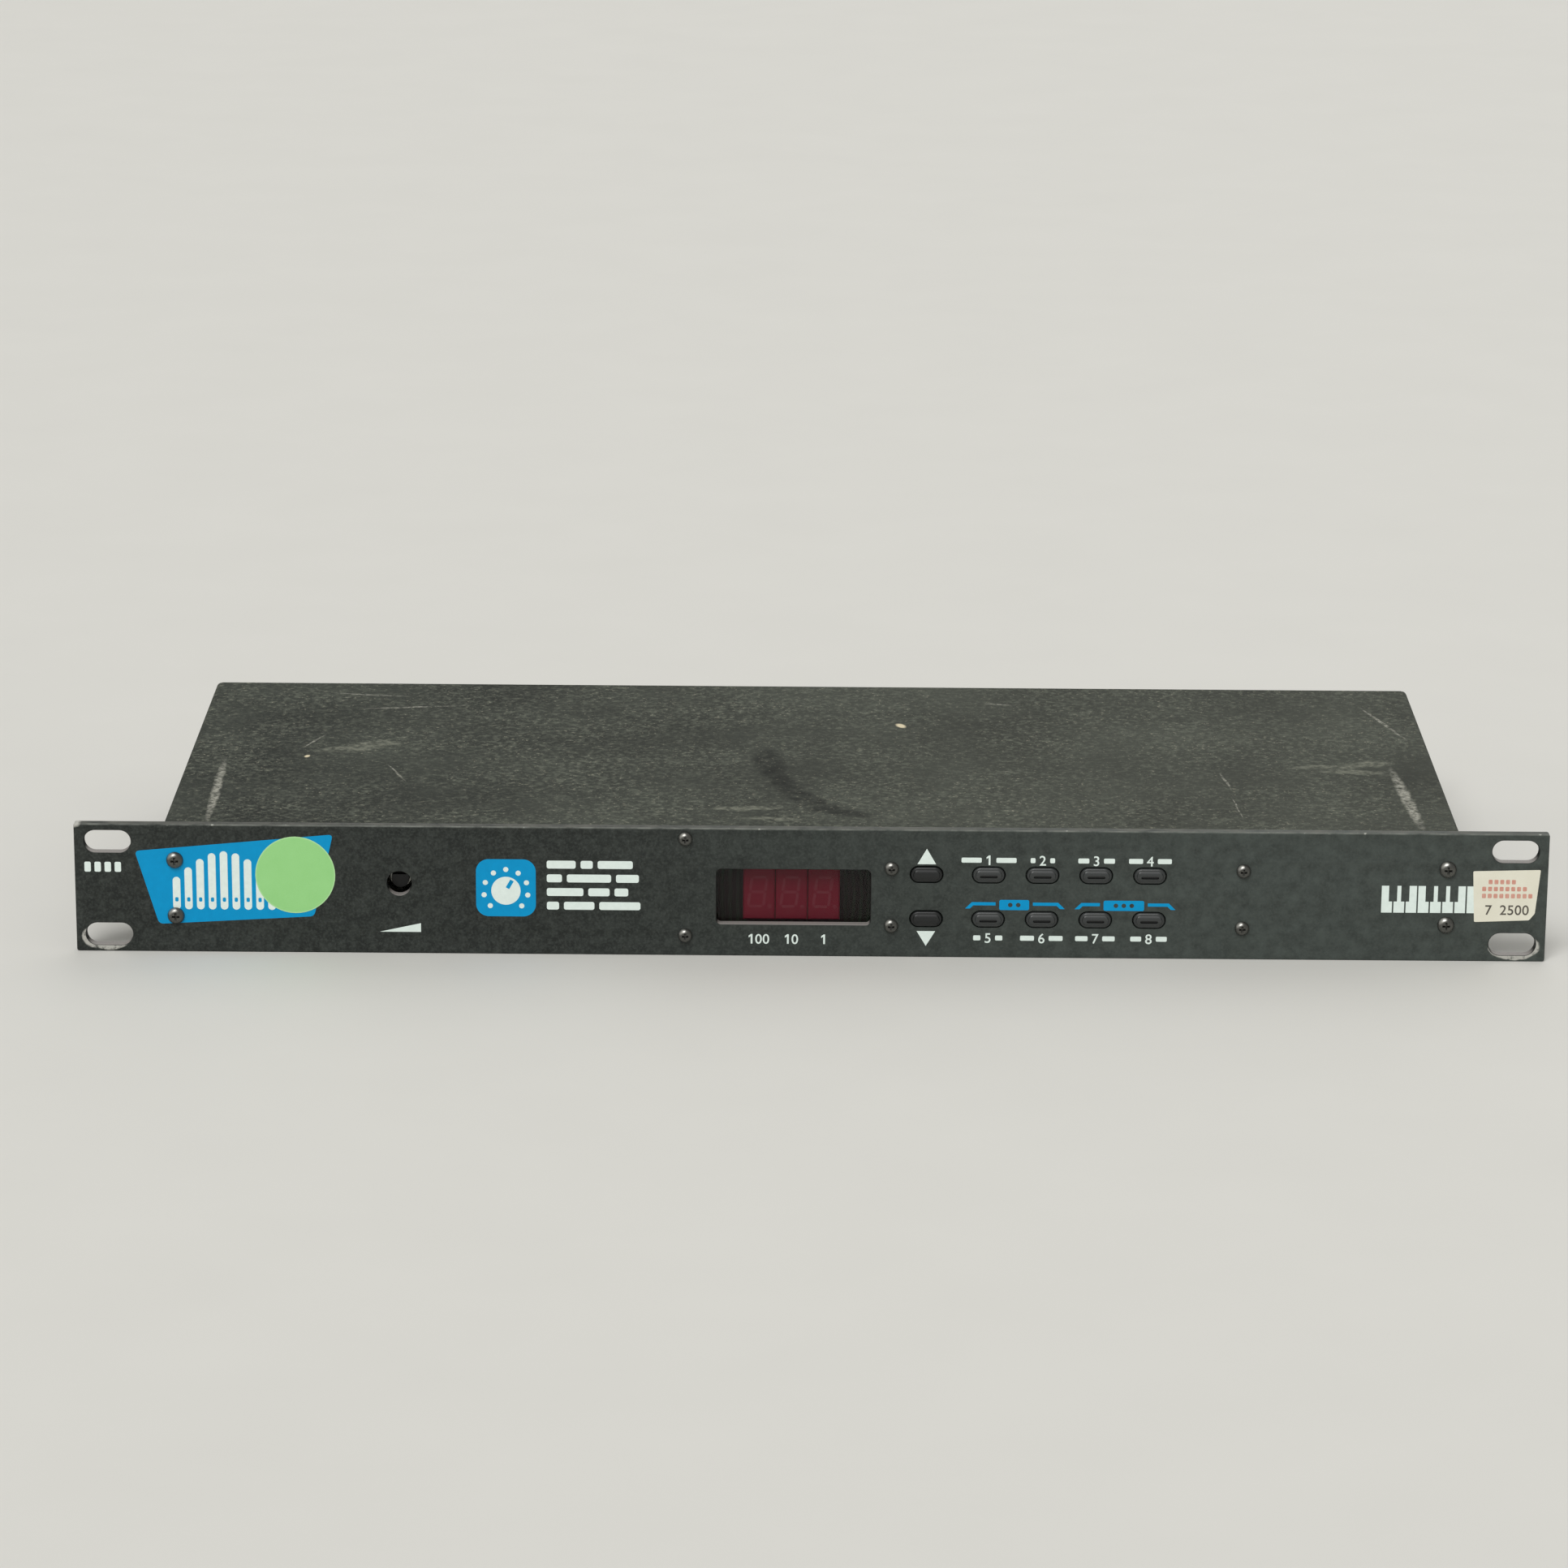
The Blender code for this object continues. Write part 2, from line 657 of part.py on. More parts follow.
def make_front_panel():
    """A thick plate, milled through for the screws, keys, display and volume shaft.

    Each rack ear that stands out past the cover is a flat face of its own.
    """
    inset = 2 * PANEL_EDGE_CHAMFER
    outer = moved(rounded_rectangle(PANEL_WIDTH, PANEL_HEIGHT, PANEL_CORNER_RADIUS), 0, PANEL_MID)
    face = moved(
        rounded_rectangle(PANEL_WIDTH - inset, PANEL_HEIGHT - inset, PANEL_CORNER_RADIUS), 0, PANEL_MID
    )
    bm = bmesh.new()
    stations = [(face, 0.0), (outer, PANEL_EDGE_CHAMFER), (outer, PANEL_BACK)]
    add_loft(bm, [along_y(outline, y) for outline, y in stations])
    for side in (-1, 1):
        ear_start = Vector((side * (COVER_HALF + EAR_FACE_MARGIN), 0.0, 0.0))
        everything = bm.verts[:] + bm.edges[:] + bm.faces[:]
        bmesh.ops.bisect_plane(bm, geom=everything, plane_co=ear_start, plane_no=(1.0, 0.0, 0.0))
    panel = add("front_panel", close_mesh(bm, "front_panel", SMOOTH_ANGLE), black_paint())
    start = -PANEL_THICKNESS
    end = PANEL_BACK + PANEL_THICKNESS
    cuts = [(moved(obround(RACK_SLOT_LENGTH, RACK_SLOT_WIDTH), x, z), start, end) for x, z in rack_slots()]
    frame_hole = circle(FRAME_SCREW_RADIUS + SCREW_HOLE_GAP, SCREW_SIDES)
    cuts += [(moved(frame_hole, x, z), start, end) for x, z in side_screws()]
    board_hole = circle(BOARD_SCREW_RADIUS + SCREW_HOLE_GAP, SCREW_SIDES)
    cuts += [(moved(board_hole, x, z), start, end) for x, z in spacers()]
    key_hole = obround(KEY_OPENING_LENGTH, KEY_OPENING_HEIGHT)
    cuts += [(moved(key_hole, x, z), start, end) for _, x, z in key_places()]
    cuts.append((moved(circle(VOLUME_HOLE_RADIUS, ROUND_SIDES), VOLUME_X, VOLUME_Z), start, end))
    window = rounded_rectangle(WINDOW_WIDTH, WINDOW_HEIGHT, WINDOW_CORNER_RADIUS)
    cuts.append((moved(window, WINDOW_X, WINDOW_Z), start, end))
    shape(panel, "DIFFERENCE", "panel_cuts", prisms("panel_cuts", along_y, cuts))


# Folded tray and cover


def make_chassis_tray():
    """Floor, rear wall with its top flange, front lip and tabs, low sides and board standoffs."""
    mid = TRAY_SHEET / 2
    lip = BEHIND_PANEL + mid
    wall = TRAY_WALL_OUTER - mid
    corners = [
        (lip, TRAY_LIP_HEIGHT),
        (lip, mid),
        (wall, mid),
        (wall, TRAY_TOP - mid),
        (wall - TRAY_TOP_FLANGE, TRAY_TOP - mid),
    ]
    slab_half = TRAY_HALF - TRAY_SHEET - TRAY_BEND_RADIUS - FUSE_DEPTH
    base = folded_profile(corners, TRAY_SHEET, TRAY_BEND_RADIUS)
    slab = prisms("chassis_tray", along_x, [(base, -slab_half, slab_half)])
    tray = add("chassis_tray", slab, black_paint())

    sides = []
    side_start = TAB_BACK + TRAY_RELIEF
    side_end = TRAY_WALL_INNER - TRAY_RELIEF
    inner = slab_half - 2 * FUSE_DEPTH
    for side in (-1, 1):
        wall_x = side * (TRAY_HALF - mid)
        bend = [(side * inner, mid), (wall_x, mid), (wall_x, TRAY_SIDE_HEIGHT)]
        sides.append((folded_profile(bend, TRAY_SHEET, TRAY_BEND_RADIUS), side_start, side_end))
    shape(tray, "UNION", "tray_sides", prisms("tray_sides", along_y, sides))

    edge = TRAY_HALF - SEAT_GAP
    foot = TRAY_SHEET + TRAY_BEND_RADIUS
    plates = []
    for side in (-1, 1):
        tab_middle = side * (edge - TRAY_TAB_WIDTH / 2)
        tab = moved(rectangle(TRAY_TAB_WIDTH, TRAY_TOP - foot), tab_middle, (TRAY_TOP + foot) / 2)
        plates.append((tab, BEHIND_PANEL, TAB_BACK))
        strip = edge - inner
        wing_height = TRAY_TOP - 2 * (foot + TRAY_RELIEF)
        wing = moved(rectangle(strip, wing_height), side * (edge + inner) / 2, TRAY_TOP / 2)
        plates.append((wing, TRAY_WALL_INNER, TRAY_WALL_OUTER))
    shape(tray, "UNION", "tray_tabs", prisms("tray_tabs", along_y, plates))

    post = circle(STANDOFF_RADIUS, SCREW_SIDES)
    root = TRAY_SHEET - FUSE_DEPTH
    posts = [(moved(post, x, y), root, TRAY_SHEET + STANDOFF_HEIGHT) for x, y in standoffs()]
    shape(tray, "UNION", "tray_standoffs", prisms("tray_standoffs", along_z, posts))

    shape(tray, "DIFFERENCE", "tray_wall_cuts", prisms("tray_wall_cuts", along_y, tray_cuts()))
    hole = circle(FRAME_SCREW_RADIUS + SCREW_HOLE_GAP, SCREW_SIDES)
    side_hole = moved(hole, COVER_SIDE_SCREW_BACK, COVER_SIDE_SCREW_HEIGHT)
    reach = COVER_HALF + FRAME_SCREW_HEAD_HEIGHT
    depth = TRAY_HALF - 2 * TRAY_SHEET
    runs = [(side_hole, -reach, -depth), (side_hole, depth, reach)]
    shape(tray, "DIFFERENCE", "tray_side_holes", prisms("tray_side_holes", along_x, runs))


def standoffs():
    """Centres under the main board: two rows, evenly spread."""
    first = MAIN_BOARD_LEFT + STANDOFF_INSET
    last = MAIN_BOARD_RIGHT - STANDOFF_INSET
    columns = [first + (last - first) * i / (STANDOFF_COLUMNS - 1) for i in range(STANDOFF_COLUMNS)]
    rows = (MAIN_BOARD_FRONT + STANDOFF_INSET, MAIN_BOARD_BACK - STANDOFF_INSET)
    return [(x, y) for x in columns for y in rows]


def tray_cuts():
    """Holes along the depth: tab screws at the front, sockets and cover screws at the rear."""
    hole = circle(FRAME_SCREW_RADIUS + SCREW_HOLE_GAP, SCREW_SIDES)
    cuts = [(moved(hole, x, z), 0.0, TAB_BACK + TRAY_SHEET) for x, z in side_screws()]
    start = TRAY_WALL_INNER - TRAY_SHEET
    end = CHASSIS_DEPTH
    cuts += [(moved(hole, x, z), start, end) for x, z in cover_rear_screws()]
    din = circle(DIN_NOSE_RADIUS + WALL_CUT_GAP, DIN_SIDES)
    cuts += [(moved(din, x, COMPONENT_BASE + DIN_HEIGHT), start, end) for x in din_places()]
    jack = circle(JACK_BUSH_RADIUS + WALL_CUT_GAP, JACK_SIDES)
    cuts += [(moved(jack, x, COMPONENT_BASE + JACK_HEIGHT), start, end) for _, x in jack_places()]
    inlet = circle(INLET_NOSE_RADIUS + WALL_CUT_GAP, JACK_SIDES)
    cuts.append((moved(inlet, INLET_X, COMPONENT_BASE + INLET_HEIGHT), start, end))
    body = rectangle(POWER_BODY_WIDTH + 2 * WALL_CUT_GAP, POWER_BODY_HEIGHT + 2 * WALL_CUT_GAP)
    cuts.append((moved(body, POWER_X, POWER_RISE), start, end))
    return cuts


def make_top_cover():
    """A bent sheet: flat top, two full-height sides and a rear lip over the tray's wall."""
    mid = COVER_SHEET / 2
    side = COVER_HALF - mid
    top = COVER_TOP - mid
    arch = [(-side, COVER_SIDE_RISE), (-side, top), (side, top), (side, COVER_SIDE_RISE)]
    arch_end = CHASSIS_DEPTH - COVER_RELIEF
    run = (folded_profile(arch, COVER_SHEET, COVER_BEND_RADIUS), BEHIND_PANEL, arch_end)
    cover = add("top_cover", prisms("top_cover", along_y, [run]), dusty_paint())

    lip = CHASSIS_DEPTH - mid
    hook = [(arch_end - COVER_LIP_HEIGHT, top), (lip, top), (lip, COVER_TOP - COVER_LIP_HEIGHT)]
    half = COVER_HALF - COVER_RELIEF
    outline = folded_profile(hook, COVER_SHEET, COVER_BEND_RADIUS)
    shape(cover, "UNION", "cover_lip", prisms("cover_lip", along_x, [(outline, -half, half)]))

    hole = circle(FRAME_SCREW_RADIUS + SCREW_HOLE_GAP, SCREW_SIDES)
    start = TRAY_WALL_OUTER
    rear = [(moved(hole, x, z), start, CHASSIS_DEPTH + COVER_SHEET) for x, z in cover_rear_screws()]
    shape(cover, "DIFFERENCE", "cover_rear_holes", prisms("cover_rear_holes", along_y, rear))
    side_hole = moved(hole, COVER_SIDE_SCREW_BACK, COVER_SIDE_SCREW_HEIGHT)
    outside = COVER_HALF + COVER_SHEET
    runs = [(side_hole, -outside, -TRAY_HALF), (side_hole, TRAY_HALF, outside)]
    shape(cover, "DIFFERENCE", "cover_side_holes", prisms("cover_side_holes", along_x, runs))


# Screws


def screw_mesh(name, shank_radius, head_radius, head_height, reach):
    """A pan head with a cross recess, its seat at zero, its shank along +Y."""
    stations = [(circle(head_radius * wide, SCREW_SIDES), -head_height * high) for wide, high in SCREW_CROWN]
    stations += [(circle(shank_radius, SCREW_SIDES), 0.0), (circle(shank_radius, SCREW_SIDES), reach)]
    blank = add(name + "_blank", lofted(name, along_y, stations), None)
    arm = 2 * head_radius * CROSS_RECESS_SHARE
    cross = [
        (arm / 2, -CROSS_RECESS_ARM / 2),
        (arm / 2, CROSS_RECESS_ARM / 2),
        (CROSS_RECESS_ARM / 2, CROSS_RECESS_ARM / 2),
    ]
    outline = []
    for quarter in range(4):
        turn = math.pi / 2 * quarter
        cosine = math.cos(turn)
        sine = math.sin(turn)
        outline += [(u * cosine - v * sine, u * sine + v * cosine) for u, v in cross]
    run = (outline, -2 * head_height, CROSS_RECESS_DEPTH - head_height)
    shape(blank, "DIFFERENCE", name + "_recess", prisms(name + "_recess", along_y, [run]))
    return evaluated(blank, name)


def make_screws():
    """Four frame screws and six board screws in the panel, four more in the cover."""
    panel_grip = SEAT_GAP + TAB_BACK + FRAME_SCREW_REACH
    frame = screw_mesh(
        "frame_screw", FRAME_SCREW_RADIUS, FRAME_SCREW_HEAD_RADIUS, FRAME_SCREW_HEAD_HEIGHT, panel_grip
    )
    for number, (x, z) in enumerate(side_screws(), 1):
        add(f"panel_screw_{number}", frame, black_screw(), (x, -SEAT_GAP, z))

    board_grip = SEAT_GAP + BEHIND_PANEL + BOARD_SCREW_REACH
    small = screw_mesh(
        "board_screw", BOARD_SCREW_RADIUS, BOARD_SCREW_HEAD_RADIUS, BOARD_SCREW_HEAD_HEIGHT, board_grip
    )
    for number, (x, z) in enumerate(spacers(), 1):
        add(f"board_screw_{number}", small, black_screw(), (x, -SEAT_GAP, z))

    cover_grip = 2 * SEAT_GAP + COVER_SHEET + TRAY_SHEET + FRAME_SCREW_REACH
    cover = screw_mesh(
        "cover_screw", FRAME_SCREW_RADIUS, FRAME_SCREW_HEAD_RADIUS, FRAME_SCREW_HEAD_HEIGHT, cover_grip
    )
    for number, (x, z) in enumerate(cover_rear_screws(), 1):
        made = add(f"cover_screw_rear_{number}", cover, black_screw(), (x, CHASSIS_DEPTH + SEAT_GAP, z))
        made.rotation_euler.z = math.pi
    for name, side in (("left", -1), ("right", 1)):
        place = (side * (COVER_HALF + SEAT_GAP), COVER_SIDE_SCREW_BACK, COVER_SIDE_SCREW_HEIGHT)
        made = add(f"cover_screw_{name}", cover, black_screw(), place)
        made.rotation_euler.z = side * math.pi / 2


# Display


def make_display():
    """A smoked lens behind the window, and three digit blocks on the board behind it."""
    width = WINDOW_WIDTH + 2 * LENS_OVERLAP
    height = WINDOW_HEIGHT + 2 * LENS_OVERLAP
    outline = moved(rounded_rectangle(width, height, WINDOW_CORNER_RADIUS), WINDOW_X, WINDOW_Z)
    lens = prisms("display_window", along_y, [(outline, BEHIND_PANEL, LENS_BACK)])
    add("display_window", lens, smoked_acrylic())

    face = rectangle(DIGIT_WIDTH - 2 * DIGIT_CHAMFER, DIGIT_HEIGHT - 2 * DIGIT_CHAMFER)
    wall = rectangle(DIGIT_WIDTH, DIGIT_HEIGHT)
    front = LENS_BACK + SEAT_GAP
    stations = [(face, front), (wall, front + DIGIT_CHAMFER), (wall, BOARD_FRONT - SEAT_GAP)]
    block = lofted("digit_block", along_y, stations)
    pitch = DIGIT_WIDTH + SEAT_GAP
    for number in range(DIGIT_COUNT):
        offset = (number - (DIGIT_COUNT - 1) / 2) * pitch
        add(f"digit_{number + 1}", block, digit_resin(), (DIGITS_X + offset, 0.0, WINDOW_Z))


# Front board, keys and switches


def make_front_board():
    """The board behind the panel, with six round spacers pressed into it and a cable header."""
    places = spacers()
    left = min(x for x, _ in places) - FRONT_BOARD_MARGIN
    right = max(x for x, _ in places) + FRONT_BOARD_MARGIN
    low = (left, BOARD_FRONT, TRAY_SHEET + FRONT_BOARD_FLOOR_GAP)
    high = (right, BOARD_BACK, COVER_UNDERSIDE - FRONT_BOARD_TOP_GAP)
    board = add("front_board", box("front_board", low, high), green_board())

    bm = bmesh.new()
    outer = circle(SPACER_RADIUS, SCREW_SIDES)
    bore = circle(BOARD_SCREW_RADIUS + SCREW_HOLE_GAP, SCREW_SIDES)
    end = BEHIND_PANEL + SPACER_BORE_DEPTH
    sunk = BOARD_FRONT + FUSE_DEPTH
    rings = [(outer, sunk), (outer, BEHIND_PANEL), (bore, BEHIND_PANEL), (bore, end)]
    for x, z in places:
        add_loft(bm, [along_y(moved(outline, x, z), y) for outline, y in rings])
    shape(board, "UNION", "board_spacers", close_mesh(bm, "board_spacers", None))

    half = RIBBON_PLUG_LENGTH / 2
    low = (RIBBON_X - half, BOARD_BACK - FUSE_DEPTH, RIBBON_HEADER_RISE - RIBBON_PLUG_HEIGHT / 2)
    high = (RIBBON_X + half, BOARD_BACK + HEADER_HEIGHT, RIBBON_HEADER_RISE + RIBBON_PLUG_HEIGHT / 2)
    shape(board, "UNION", "board_header", box("board_header", low, high))


def cap_stations():
    """A pill with a rounded crown, a flange that keeps it behind the panel, and a stem."""
    length = KEY_OPENING_LENGTH - 2 * SLIDE_GAP
    height = KEY_OPENING_HEIGHT - 2 * SLIDE_GAP
    stations = []
    for step in range(KEY_EDGE_STEPS + 1):
        angle = math.pi / 2 * step / KEY_EDGE_STEPS
        trim = 2 * KEY_EDGE_ROUND * (1 - math.sin(angle))
        back = KEY_EDGE_ROUND * (1 - math.cos(angle))
        stations.append((obround(length - trim, height - trim), back - KEY_PROUD))
    flange_length = KEY_OPENING_LENGTH + 2 * KEY_FLANGE_OVERLAP
    flange_height = KEY_OPENING_HEIGHT + 2 * KEY_FLANGE_OVERLAP
    flange_back = BEHIND_PANEL + KEY_FLANGE_THICKNESS
    stem = circle(KEY_STEM_RADIUS, KEY_SIDES)
    stations += [
        (obround(length, height), BEHIND_PANEL),
        (obround(flange_length, flange_height), BEHIND_PANEL),
        (obround(flange_length, flange_height), flange_back),
        (stem, flange_back),
        (stem, stem_hole_bottom() - KEY_TRAVEL - SEAT_GAP),
    ]
    return stations


def switch_back():
    return BOARD_FRONT - SEAT_GAP


def switch_collar_front():
    return switch_back() - SWITCH_HEIGHT - SWITCH_COLLAR_HEIGHT


def stem_hole_bottom():
    return switch_collar_front() + SWITCH_STEM_HOLE_DEPTH


def make_keys():
    """Two plain black step keys and eight grey mode keys with a lamp slit in the crown."""
    plain = lofted("step_key_cap", along_y, cap_stations())
    blank = add("mode_key_blank", lofted("mode_key_cap", along_y, cap_stations()), None)
    slit = moved(obround(KEY_SLIT_LENGTH, KEY_SLIT_HEIGHT, KEY_SIDES // 2), 0, -KEY_SLIT_DROP)
    run = (slit, -2 * KEY_PROUD, KEY_SLIT_DEPTH - KEY_PROUD)
    shape(blank, "DIFFERENCE", "mode_key_slit", prisms("mode_key_slit", along_y, [run]))
    slotted = evaluated(blank, "mode_key_cap")
    for name, x, z in key_places():
        if name in ("up", "down"):
            add(f"key_{name}", plain, black_plastic(), (x, 0.0, z))
        else:
            add(f"key_{name}", slotted, grey_plastic(), (x, 0.0, z))


def make_switches():
    """Square switch bodies with a round collar, bored for the key's stem."""
    body = rectangle(SWITCH_SIZE, SWITCH_SIZE, SWITCH_SIDES)
    collar = circle(SWITCH_COLLAR_RADIUS, SWITCH_SIDES)
    bore = circle(KEY_STEM_RADIUS + SLIDE_GAP, SWITCH_SIDES)
    shoulder = switch_back() - SWITCH_HEIGHT
    stations = [
        (body, switch_back()),
        (body, shoulder),
        (collar, shoulder),
        (collar, switch_collar_front()),
        (bore, switch_collar_front()),
        (bore, stem_hole_bottom()),
    ]
    mesh = lofted("switch_body", along_y, stations)
    for name, x, z in key_places():
        add(f"switch_{name}", mesh, black_plastic(), (x, 0.0, z))


# Volume control


def make_volume_control():
    """A bracket on the tray's floor holds the control, whose shaft ends short of the panel."""
    mid = TRAY_SHEET / 2
    plate = BOARD_FRONT + mid
    foot = TRAY_SHEET + SEAT_GAP + mid
    top = COVER_UNDERSIDE - POT_BRACKET_TOP_MARGIN + mid
    bend = [(plate, top), (plate, foot), (plate + POT_BRACKET_FOOT, foot)]
    half = POT_BRACKET_WIDTH / 2
    run = (folded_profile(bend, TRAY_SHEET, TRAY_BEND_RADIUS), VOLUME_X - half, VOLUME_X + half)
    bracket = add("pot_bracket", prisms("pot_bracket", along_x, [run]), zinc_steel())
    back = BOARD_FRONT + TRAY_SHEET
    hole = moved(circle(POT_BUSH_RADIUS + POT_BUSH_HOLE_GAP, ROUND_SIDES), VOLUME_X, VOLUME_Z)
    cut = (hole, BOARD_FRONT - TRAY_SHEET, back + TRAY_SHEET)
    shape(bracket, "DIFFERENCE", "pot_bracket_hole", prisms("pot_bracket_hole", along_y, [cut]))

    seat = back + SEAT_GAP
    body = circle(POT_BODY_RADIUS, ROUND_SIDES)
    bush = circle(POT_BUSH_RADIUS, ROUND_SIDES)
    bore = circle(POT_SHAFT_RADIUS + POT_SHAFT_GAP, ROUND_SIDES)
    bush_front = BOARD_FRONT - POT_BUSH_REACH
    shaft_end = seat + POT_SHAFT_ENGAGEMENT
    stations = [
        (body, seat + POT_BODY_DEPTH),
        (body, seat),
        (bush, seat),
        (bush, bush_front),
        (bore, bush_front),
        (bore, shaft_end + SEAT_GAP),
    ]
    place = (VOLUME_X, 0.0, VOLUME_Z)
    add("volume_pot", lofted("volume_pot", along_y, stations), nickel(), place)

    nut_back = BOARD_FRONT - SEAT_GAP
    nut_front = nut_back - POT_NUT_THICKNESS
    nut = nut_mesh("pot_nut", POT_NUT_WIDTH, POT_BUSH_RADIUS, nut_front, nut_back)
    add("pot_nut", nut, nickel(), place)

    tip = bush_front - POT_SHAFT_TIP_REACH
    rod = circle(POT_SHAFT_RADIUS, ROUND_SIDES)
    mesh = lofted("volume_shaft", along_y, [(rod, tip), (rod, shaft_end)])
    shaft = add("volume_shaft", mesh, black_plastic(), place)
    low = (-POT_SHAFT_RADIUS, tip - POT_SHAFT_FLAT_LENGTH, POT_SHAFT_RADIUS - POT_SHAFT_FLAT_DEPTH)
    high = (POT_SHAFT_RADIUS, tip + POT_SHAFT_FLAT_LENGTH / 2, 2 * POT_SHAFT_RADIUS)
    shape(shaft, "DIFFERENCE", "volume_shaft_flat", box("volume_shaft_flat", low, high))


def nut_mesh(name, width, bush_radius, front, back):
    """A hexagon with a round bore, as an open ring of four stations joined at its ends."""
    outer = hexagon(width, NUT_SIDES)
    bore = circle((bush_radius + WALL_CUT_GAP) / math.cos(math.pi / NUT_SIDES), NUT_SIDES)
    bm = bmesh.new()
    rings = [along_y(outer, front), along_y(outer, back), along_y(bore, back), along_y(bore, front)]
    loops = [[bm.verts.new(point) for point in ring] for ring in rings]
    count = len(loops[0])
    for near, far in zip(loops, loops[1:] + loops[:1]):
        for i in range(count):
            j = (i + 1) % count
            bm.faces.new((near[i], near[j], far[j], far[i]))
    return close_mesh(bm, name, NUT_SMOOTH_ANGLE)


# Main board and what stands on it


def make_main_board():
    """The board on the tray's standoffs, with its chips, filter cans, regulator and headers."""
    low = (MAIN_BOARD_LEFT, MAIN_BOARD_FRONT, MAIN_BOARD_BOTTOM)
    high = (MAIN_BOARD_RIGHT, MAIN_BOARD_BACK, MAIN_BOARD_TOP)
    board = add("main_board", box("main_board", low, high), green_board())

    sunk = MAIN_BOARD_TOP - FUSE_DEPTH
    chips = []
    for x, y, width, depth in chip_places():
        chips.append((moved(rectangle(width, depth), x, y), sunk, MAIN_BOARD_TOP + CHIP_THICKNESS))
    can = circle(FILTER_CAN_RADIUS, ROUND_SIDES)
    can_y = MAIN_BOARD_BACK - FILTER_CAN_FORWARD
    for i in range(FILTER_CAN_COUNT):
        can_x = MAIN_BOARD_RIGHT - FILTER_CAN_INSET - i * FILTER_CAN_PITCH
        place = moved(can, can_x, can_y)
        chips.append((place, sunk, MAIN_BOARD_TOP + FILTER_CAN_HEIGHT))
    header = rectangle(RIBBON_PLUG_LENGTH, RIBBON_PLUG_DEPTH)
    chips.append((moved(header, RIBBON_X, ribbon_main_y()), sunk, MAIN_BOARD_TOP + HEADER_HEIGHT))
    shape(board, "UNION", "board_chips", prisms("board_chips", along_z, chips))


def chip_places():
    """Centre and size of each large chip, in columns from the board's left edge and rows from its front."""
    left = MAIN_BOARD_LEFT + LEFT_CHIPS_LEFT_INSET
    right = MAIN_BOARD_LEFT + RIGHT_CHIPS_LEFT_INSET
    front = MAIN_BOARD_FRONT + FRONT_CHIPS_SETBACK
    back = MAIN_BOARD_FRONT + REAR_CHIPS_SETBACK
    return [
        (left, front, PROCESSOR_SIZE, PROCESSOR_SIZE),
        (right, front, MEMORY_LENGTH, MEMORY_WIDTH),
        (left, back, CONVERTER_LENGTH, CONVERTER_WIDTH),
        (right, back, MEMORY_LENGTH, MEMORY_WIDTH),
    ]


def make_heat_sink():
    """An extruded comb of fins that stands on the main board."""
    centre_y = MAIN_BOARD_BACK - HEAT_SINK_FORWARD
    pitch = (HEAT_SINK_WIDTH - HEAT_SINK_FIN) / (HEAT_SINK_FINS - 1)
    left = HEAT_SINK_X - HEAT_SINK_WIDTH / 2
    back = centre_y + HEAT_SINK_DEPTH / 2
    root = back - HEAT_SINK_BASE
    front = centre_y - HEAT_SINK_DEPTH / 2
    outline = [(left + HEAT_SINK_WIDTH, back), (left, back)]
    for fin in range(HEAT_SINK_FINS):
        x = left + fin * pitch
        if fin:
            outline.append((x, root))
        outline += [(x, front), (x + HEAT_SINK_FIN, front)]
        if fin < HEAT_SINK_FINS - 1:
            outline.append((x + HEAT_SINK_FIN, root))
    run = (outline, COMPONENT_BASE, COMPONENT_BASE + HEAT_SINK_HEIGHT)
    add("heat_sink", prisms("heat_sink", along_z, [run]), black_aluminium())


# Sockets in the rear wall


def make_din_sockets():
    """Round five-pin sockets: a ring slot for the plug's shell and a core with pin holes."""
    lower = DIN_HEIGHT
    upper = DIN_BODY_WIDTH - DIN_HEIGHT
    body = moved(rectangle(DIN_BODY_WIDTH, lower + upper, DIN_SIDES), 0, (upper - lower) / 2)
    front = TRAY_WALL_INNER - SEAT_GAP
    face = TRAY_WALL_OUTER
    floor = face - DIN_SLOT_DEPTH
    nose = circle(DIN_NOSE_RADIUS, DIN_SIDES)
    outer = circle(DIN_SLOT_OUTER_RADIUS, DIN_SIDES)
    core = circle(DIN_SLOT_INNER_RADIUS, DIN_SIDES)
    stations = [
        (body, front - DIN_BODY_DEPTH),
        (body, front),
        (nose, front),
        (nose, face),
        (outer, face),
        (outer, floor),
        (core, floor),
        (core, face),
    ]
    blank = add("din_blank", lofted("din_socket", along_y, stations), None)
    pin = circle(DIN_PIN_RADIUS, SCREW_SIDES // 2)
    pins = []
    for i in range(DIN_PIN_COUNT):
        angle = -DIN_PIN_ARC / 2 + DIN_PIN_ARC * i / (DIN_PIN_COUNT - 1) - math.pi / 2
        place = moved(pin, DIN_PIN_CIRCLE_RADIUS * math.cos(angle), DIN_PIN_CIRCLE_RADIUS * math.sin(angle))
        pins.append((place, face - DIN_PIN_DEPTH, face + DIN_PIN_RADIUS))
    shape(blank, "DIFFERENCE", "din_pins", prisms("din_pins", along_y, pins))
    mesh = evaluated(blank, "din_socket")
    for number, x in enumerate(din_places(), 1):
        add(f"din_socket_{number}", mesh, black_plastic(), (x, 0.0, COMPONENT_BASE + DIN_HEIGHT))


